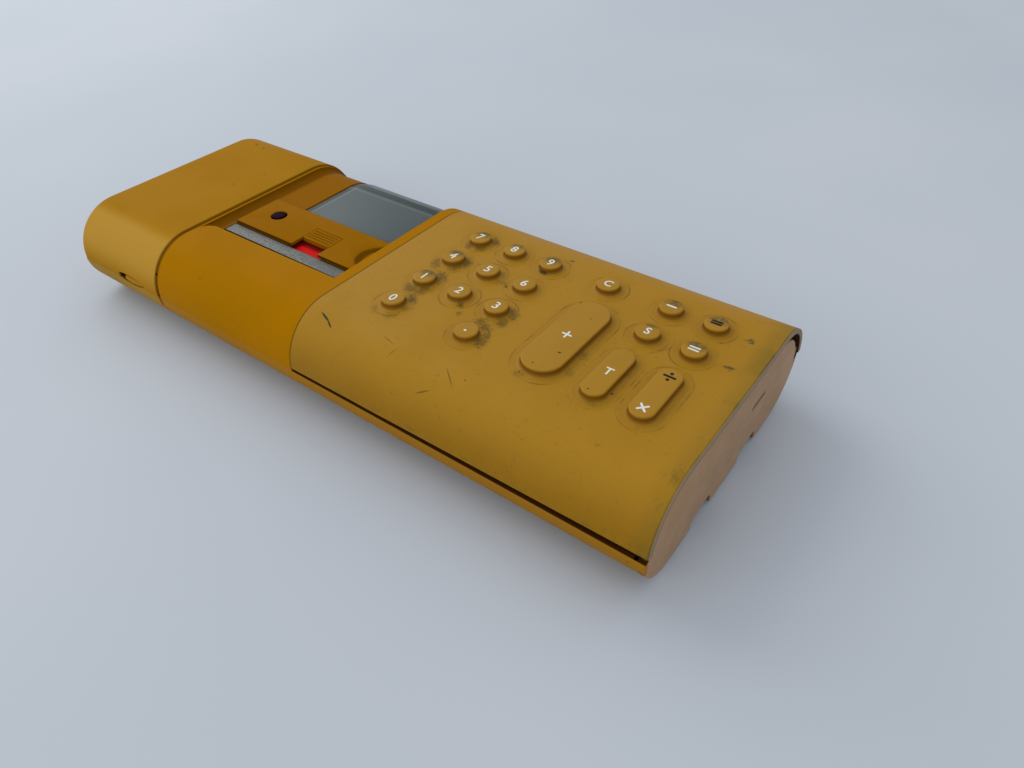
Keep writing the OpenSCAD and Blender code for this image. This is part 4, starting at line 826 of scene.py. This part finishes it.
# Painted shade along its edges in the gap under the skin, and on every face set back from its front, the
# notch walls among them
sides = coat.spread(coat.calc("ABSOLUTE", coat.along("Y")), 0.0568, 0.0574)
coat.tint((0.035, 0.008, 0.002), coat.times(sides, coat.spread(coat.along("Z"), 0.0196, 0.0202)))
coat.tint((0.10, 0.050, 0.028), coat.along("X"), 0.15300, 0.15265, 0.0, 0.8)
coat.relief(coat.noise(1500, 4), 0.00005, 0.3)
plate_finish = coat.done(coat.spread(clouds, 0.3, 0.7, 0.5, 0.68), Specular_IOR_Level=0.1)
groove_y, groove_z = 21.6, 24.5
plate_half = case_half - lip_wide - 0.1
plate = moulding("end_plate", "tan_end_plate")
trim(plate, ((0, plate_half, 0), (0, -1, 0)), ((0, -plate_half, 0), (0, 1, 0)))
reshape(plate, lambda co: abs(co.y - groove_y) < 7 and abs(co.z - groove_z) < 1,
        scale=(1, 1, 1.5), about=(0, groove_y, groove_z))
reshape(plate, lambda co: co.y > 38.5 and co.z > 27, scale=(1, 0.90, 0.86), about=(0, arc_y, arc_z))
round_edges(plate, 0.4)
settle(plate, plate_finish, "case", "end_tan", "end_plate")

# Control panel and ribbed switch button. Thin amber mouldings on the sunken deck: the panel is snapped in,
# with a thumb hollow at its right end, and the button runs in its slot under two rails.
# Painted shade along the panel's front edge by the strip; in the thumb hollow, grease and painted shade
# together, and a dark spot beside it
panel_edge_shade = ([("Y", -16.55, -16.75)], 0.8, (0.06, 0.022, 0.0005))
hollow_grease_and_shade = [((-9.7, -4.8, 7.5, 8.7, 0, 0.06), 0.75, (0.10, 0.042, 0.0005)),
               ((-12.5, 2.0, 2.5, 1.2, 60, 0.5), 0.6, (0.05, 0.025, 0.001))]
panel_finish = amber_finish("panel_plastic", (0.31, 0.124, 0.0004), (0.292, 0.118, 0.0008),
                            (0.20, 0.09, 0.005), 0.46, panel_edge_shade, marks=hollow_grease_and_shade)
panel = moulding("control_panel", "switch_panel")
cut(panel, thumb_hollow())
round_edges(panel, 0.22)
settle(panel, panel_finish, "case", "panel_amber", "control_panel")
button = moulding("power_slider", "ribbed_button")
round_edges(button, 0.12, 2)
settle(button, panel_finish, "power_slider", "panel_amber", "power_slider")

# Trim strip. Bare aluminium foil on a flat bar, laid in the channel in front of the panel; the surface is
# mottled and pitted, with its short edges worn round.
coat = Finish("strip_aluminium", (0.105, 0.109, 0.100))
mottle = coat.noise(900, 6, 0.7)
coat.tint((0.155, 0.159, 0.148), mottle, 0.38, 0.62)
coat.tint((0.09, 0.095, 0.09), coat.noise(1300, 3, 0.5), 0.60, 0.70, 0.0, 0.6)
coat.relief(mottle, 0.00008, 0.5)
strip_finish = coat.done(coat.spread(mottle, 0.35, 0.65, 0.6, 0.42), Metallic=0.55)
strip_back, strip_share = -18.4, 0.62
strip = moulding("trim_strip", "metal_strip")
reshape(strip, lambda co: True, scale=(1, strip_share, 1), about=(0, strip_back, 0))
round_edges(strip, 0.2)
settle(strip, strip_finish, "case", "strip_metal", "trim_strip")

# Indicator lens. A flat plum button, turned with its flange and stem in one piece and pushed up from below
# through the panel.
coat = Finish("lens_plum", (0.010, 0.0006, 0.006))
depth = coat.noise(300, 3)
coat.tint((0.018, 0.001, 0.009), depth, 0.35, 0.7)
lens_finish = coat.done(coat.spread(depth, 0.3, 0.7, 0.30, 0.42), Specular_IOR_Level=0.008)
lens_low, lens_high = [[v / MM for v in corner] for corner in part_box("indicator_lens")]
lens_x, lens_y = (lens_low[0] + lens_high[0]) / 2, (lens_low[1] + lens_high[1]) / 2
stem, crown = lens_low[2], lens_high[2]
stem_r, lens_r, flange_r = 1.87, 3.4, (lens_high[0] - lens_low[0]) / 2
rim_wide, rim_high = 0.5, 0.35
seat_low, seat_top, shoulder = 38.25, 39.85, 39.9
rings = [(stem_r, stem), (stem_r, seat_low), (flange_r, seat_low), (flange_r, seat_top), (lens_r, shoulder),
         (lens_r, crown - rim_high)]
for angle in [math.pi / 2 * i / 5 for i in range(1, 6)]:
    rings.append((lens_r - rim_wide * (1 - math.cos(angle)), crown - rim_high * (1 - math.sin(angle))))
lens = put(turned("plum_lens", rings), lens_x, lens_y)
smooth()
settle(lens, lens_finish, "case", "lens_plum", "indicator_lens")


# Switch flag. A strip of bright red plastic under the slot, bare where the button has slid back, with a
# painted shadow along the button's edge and the slot's left wall. Beside it is the black plastic of the inner
# works.
def works_finish(name, main, other, scale, gloss, metal=0.0, grain=(1, 1, 1), shine=0.3):
    """A plain works finish: two tones clouded along a grain, with gloss and relief from the same pattern."""
    coat = Finish(name, main)
    run = coat.node("Mapping", coat.place, Scale=grain).outputs["Vector"]
    wide = coat.noise(scale, 5, place=run)
    fine = coat.noise(scale * 9, 3, place=run)
    coat.tint(other, wide, 0.35, 0.7)
    coat.tint(tuple(c * 0.6 for c in main), fine, 0.60, 0.74, 0.0, 0.4)
    coat.relief(coat.calc("ADD", wide, fine), 0.00004, 0.5)
    return coat.done(coat.spread(wide, 0.3, 0.7, gloss, gloss + 0.14),
                     Metallic=metal, Specular_IOR_Level=shine)


def dress(finish, *nodes):
    """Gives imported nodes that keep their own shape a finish."""
    for node in nodes:
        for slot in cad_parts[node].material_slots:
            slot.material = finish


coat = Finish("flag_red", (0.72, 0.001, 0.001))
clouds = coat.noise(160, 4)
coat.tint((0.60, 0.001, 0.001), clouds, 0.35, 0.7)
# Painted shadow of the button and of the slot's left wall
button_shadow = coat.spread(coat.along("Y"), -0.0138, -0.0116, 0.0, 0.8)
beside = coat.spread(coat.along("X"), -0.0458, -0.0476, 0.0, 0.8)
coat.tint((0.07, 0.0005, 0.0005), coat.largest(button_shadow, beside))
coat.relief(coat.noise(900, 3), 0.00003, 0.3)
dress(coat.done(coat.spread(clouds, 0.3, 0.7, 0.48, 0.6), Specular_IOR_Level=0.05), "switch_flag")
dress(works_finish("black_plastic", (0.016, 0.016, 0.017), (0.024, 0.023, 0.022), 140, 0.48), "switch_body",
      "print_head", "logic_chips", "battery_holder", "dock_socket", "dock_plug", "mains_inlet")

# Paper window. A smoky clear moulding over the paper path, bent down the back to its hinge, with a sloping
# margin on the left; worn white and chipped along the bend. Under it lies a grey tray.
coat = Finish("window_clear", (0.125, 0.160, 0.168))
haze = coat.noise(60, 5, 0.55)
chips = coat.noise(420, 4, 0.6)
coat.tint((0.137, 0.171, 0.177), haze, 0.35, 0.7)
# Painted shade on the left margin, for the shaded wall seen through it, and a painted highlight along its
# inner edge
coat.tint((0.075, 0.058, 0.040), coat.along("X"), -0.0632, -0.0638, 0.0, 0.8)
coat.tint((0.30, 0.35, 0.37), coat.off(coat.along("X"), -0.0632), 0.0002, 0.0010, 0.5, 0.0)
coat.tint((0.24, 0.28, 0.28), coat.off(coat.along("Y"), 0.0368), 0.0003, 0.0011, 0.5, 0.0)
dark = coat.spread(coat.along("Y"), 0.0376, 0.0386, 0.0, 0.8)
coat.tint((0.045, 0.064, 0.058), coat.times(dark, coat.spread(chips, 0.70, 0.55, 0.6, 1.0)))
worn = coat.spread(coat.along("Y"), 0.0425, 0.0436, 0.0, 0.8)
coat.tint((0.27, 0.31, 0.315), coat.times(worn, coat.spread(haze, 0.35, 0.60, 0.55, 1.0)))
coat.relief(chips, 0.00001, 0.1)
window_finish = coat.done(coat.spread(haze, 0.35, 0.7, 0.40, 0.50), Transmission_Weight=0.4, IOR=1.3)
window_left, margin_right, margin_drop, margin_shrink = -68, -63.5, -0.9, 0.9555
bend_y, flat_under, bend_under = 37.9, 40.6, 19.9
window = moulding("paper_window", "clear_window")
edit(window)
bpy.ops.mesh.bisect(plane_co=(margin_right * MM, 0, 0), plane_no=(1, 0, 0))
edited()
reshape(window, lambda co: abs(co.x - window_left) < 0.05 and co.y < bend_y and co.z > flat_under,
        (0, 0, margin_drop))
reshape(window, lambda co: abs(co.x - window_left) < 0.05 and co.y > bend_y
        and math.hypot(co.y - arc_y, co.z - arc_z) > bend_under,
        scale=(1, margin_shrink, margin_shrink), about=(0, arc_y, arc_z))
round_edges(window, 0.4, 2)
settle(window, window_finish, "paper_window", "window_clear", "paper_window")
dress(works_finish("tray_grey", (0.075, 0.090, 0.094), (0.088, 0.102, 0.102), 90, 0.55), "paper_tray")

# Stiff frame under the skin and the works of the printer. The frame's dark maroon is painted shade for the
# moulding's foot, the only part that shows, in the gap below the skin. The printer is zinc, steel, nylon,
# brass and rubber.
dress(works_finish("frame_painted_shade", (0.045, 0.010, 0.003), (0.060, 0.014, 0.004), 80, 0.6, shine=0.1),
      "keyboard_frame")
dress(works_finish("frame_zinc", (0.42, 0.42, 0.40), (0.50, 0.49, 0.45), 60, 0.34, 0.9, (1, 6, 1)),
      "printer_frame")
dress(works_finish("bright_steel", (0.52, 0.52, 0.52), (0.60, 0.60, 0.59), 90, 0.22, 1.0, (1, 8, 8)),
      "platen_shaft", "key_domes")
dress(works_finish("platen_rubber", (0.022, 0.022, 0.023), (0.030, 0.029, 0.028), 200, 0.62), "platen_roller")
dress(works_finish("white_nylon", (0.62, 0.60, 0.53), (0.56, 0.54, 0.47), 120, 0.45),
      "platen_gear", "roll_spindle")
dress(works_finish("motor_can", (0.30, 0.31, 0.32), (0.36, 0.37, 0.38), 80, 0.3, 0.9, (8, 1, 1)),
      "feed_motor")
dress(works_finish("pinion_brass", (0.56, 0.36, 0.09), (0.48, 0.30, 0.07), 150, 0.28, 1.0, (1, 6, 6)),
      "motor_pinion")
dress(works_finish("cell_sleeve", (0.028, 0.060, 0.17), (0.036, 0.072, 0.19), 70, 0.35),
      "battery_cells", "charger_capacitor")


# Paper roll, boards, core and winding. Each shows how it is built up: layers of paper, printed tracks under
# green lacquer, stacked iron sheets, and copper wire laid turn by turn.
def layered_finish(name, main, seam, pitch, axis, gloss, metal=0.0):
    """A finish of fine even layers, stacked along one axis at a pitch in mm."""
    coat = Finish(name, seam)
    layer = coat.node("TexWave", coat.place, wave_type="BANDS", bands_direction=axis,
                      Distortion=0.4, Detail=2.0, Scale=1 / (pitch * MM) / 20 * math.pi / 2).outputs["Fac"]
    clouds = coat.noise(70, 4)
    coat.tint(main, layer, 0.1, 0.45)
    coat.tint(tuple(c * 0.7 for c in main), clouds, 0.4, 0.75, 0.0, 0.4)
    coat.relief(layer, 0.0001, 0.6)
    return coat.done(coat.spread(clouds, 0.3, 0.7, gloss, gloss + 0.15), Metallic=metal)


dress(layered_finish("core_sheets", (0.12, 0.125, 0.13), (0.05, 0.05, 0.052), 0.8, "Z", 0.45, 0.7),
      "transformer_core")
dress(layered_finish("copper_turns", (0.42, 0.16, 0.045), (0.16, 0.05, 0.014), 0.6, "Z", 0.3, 0.8),
      "transformer_winding")
dress(layered_finish("paper_layers", (0.80, 0.78, 0.71), (0.62, 0.60, 0.54), 0.5, "Y", 0.7), "paper_roll")
coat = Finish("board_lacquer", (0.016, 0.085, 0.030))
tracks = coat.node("TexBrick", coat.place, Scale=120.0, Mortar_Size=0.03, Brick_Width=0.9,
                   Row_Height=0.35).outputs["Fac"]
clouds = coat.noise(90, 4)
coat.tint((0.022, 0.110, 0.038), clouds, 0.35, 0.7)
coat.tint((0.045, 0.20, 0.06), coat.times(tracks, 0.7))
coat.relief(tracks, 0.00006, 0.6)
dress(coat.done(coat.spread(clouds, 0.3, 0.7, 0.3, 0.45)), "main_board", "key_board", "charger_board")

# Release latch of the power pack. A small amber slide with a boat-shaped thumb tab in the front of the pack;
# the tab's face is drawn in at its rim, which is painted dark as shade.
tab_rim_shade = ([("Y", -60.3, -59.8)], 0.85, (0.15, 0.055, 0.001))
latch_finish = amber_finish("latch_plastic", (0.43, 0.20, 0.006), (0.41, 0.19, 0.008), (0.37, 0.205, 0.028),
                            0.44, tab_rim_shade)
latch_front, tab_back, tab_rim_y, tab_rise = -57.5, -57, -59.3, 1.1
tab_long, tab_high, tab_left, tab_draw = 9.0, 1.95, -120.0, (0.93, 1, 0.64)
latch = moulding("release_latch", "thumb_latch")
trim(latch, ((0, latch_front, 0), (0, 1, 0)))
round_edges(latch, 0.3, 2)
tab = boat("tab", tab_long, tab_high, tab_left, tab_rim_y, tab_back)
edit(tab)
pick(tab, lambda co: co.y < tab_rim_y + 0.1)
draw_out(0, -tab_rise, 0)
bpy.ops.transform.resize(value=tab_draw, center_override=(boat_x * MM, 0, boat_z * MM))
edited()
round_edges(tab, 0.12, 2)
latch = joined([latch, tab], "thumb_latch")
settle(latch, latch_finish, "release_latch", "housing_amber", "release_latch")

# Feet and case screws. Black rubber discs pushed into the floor, and plated screws with a cross recess,
# driven up into the case from below.
foot_finish = works_finish("foot_rubber", (0.020, 0.020, 0.021), (0.034, 0.033, 0.031), 220, 0.68)
for node, name, body in (("rubber_feet", "case_feet", "case"),
                         ("pack_feet", "power_pack_feet", "power_pack")):
    feet = moulding(node, name)
    round_edges(feet, 0.6)
    settle(feet, foot_finish, body, "foot_rubber", node)
screw_finish = works_finish("screw_steel", (0.46, 0.46, 0.45), (0.55, 0.55, 0.53), 180, 0.28, 1.0)
screws = moulding("case_screws", "cross_screws")
round_edges(screws, 0.2, 2)
settle(screws, screw_finish, "case", "shaft_steel", "case_screws")
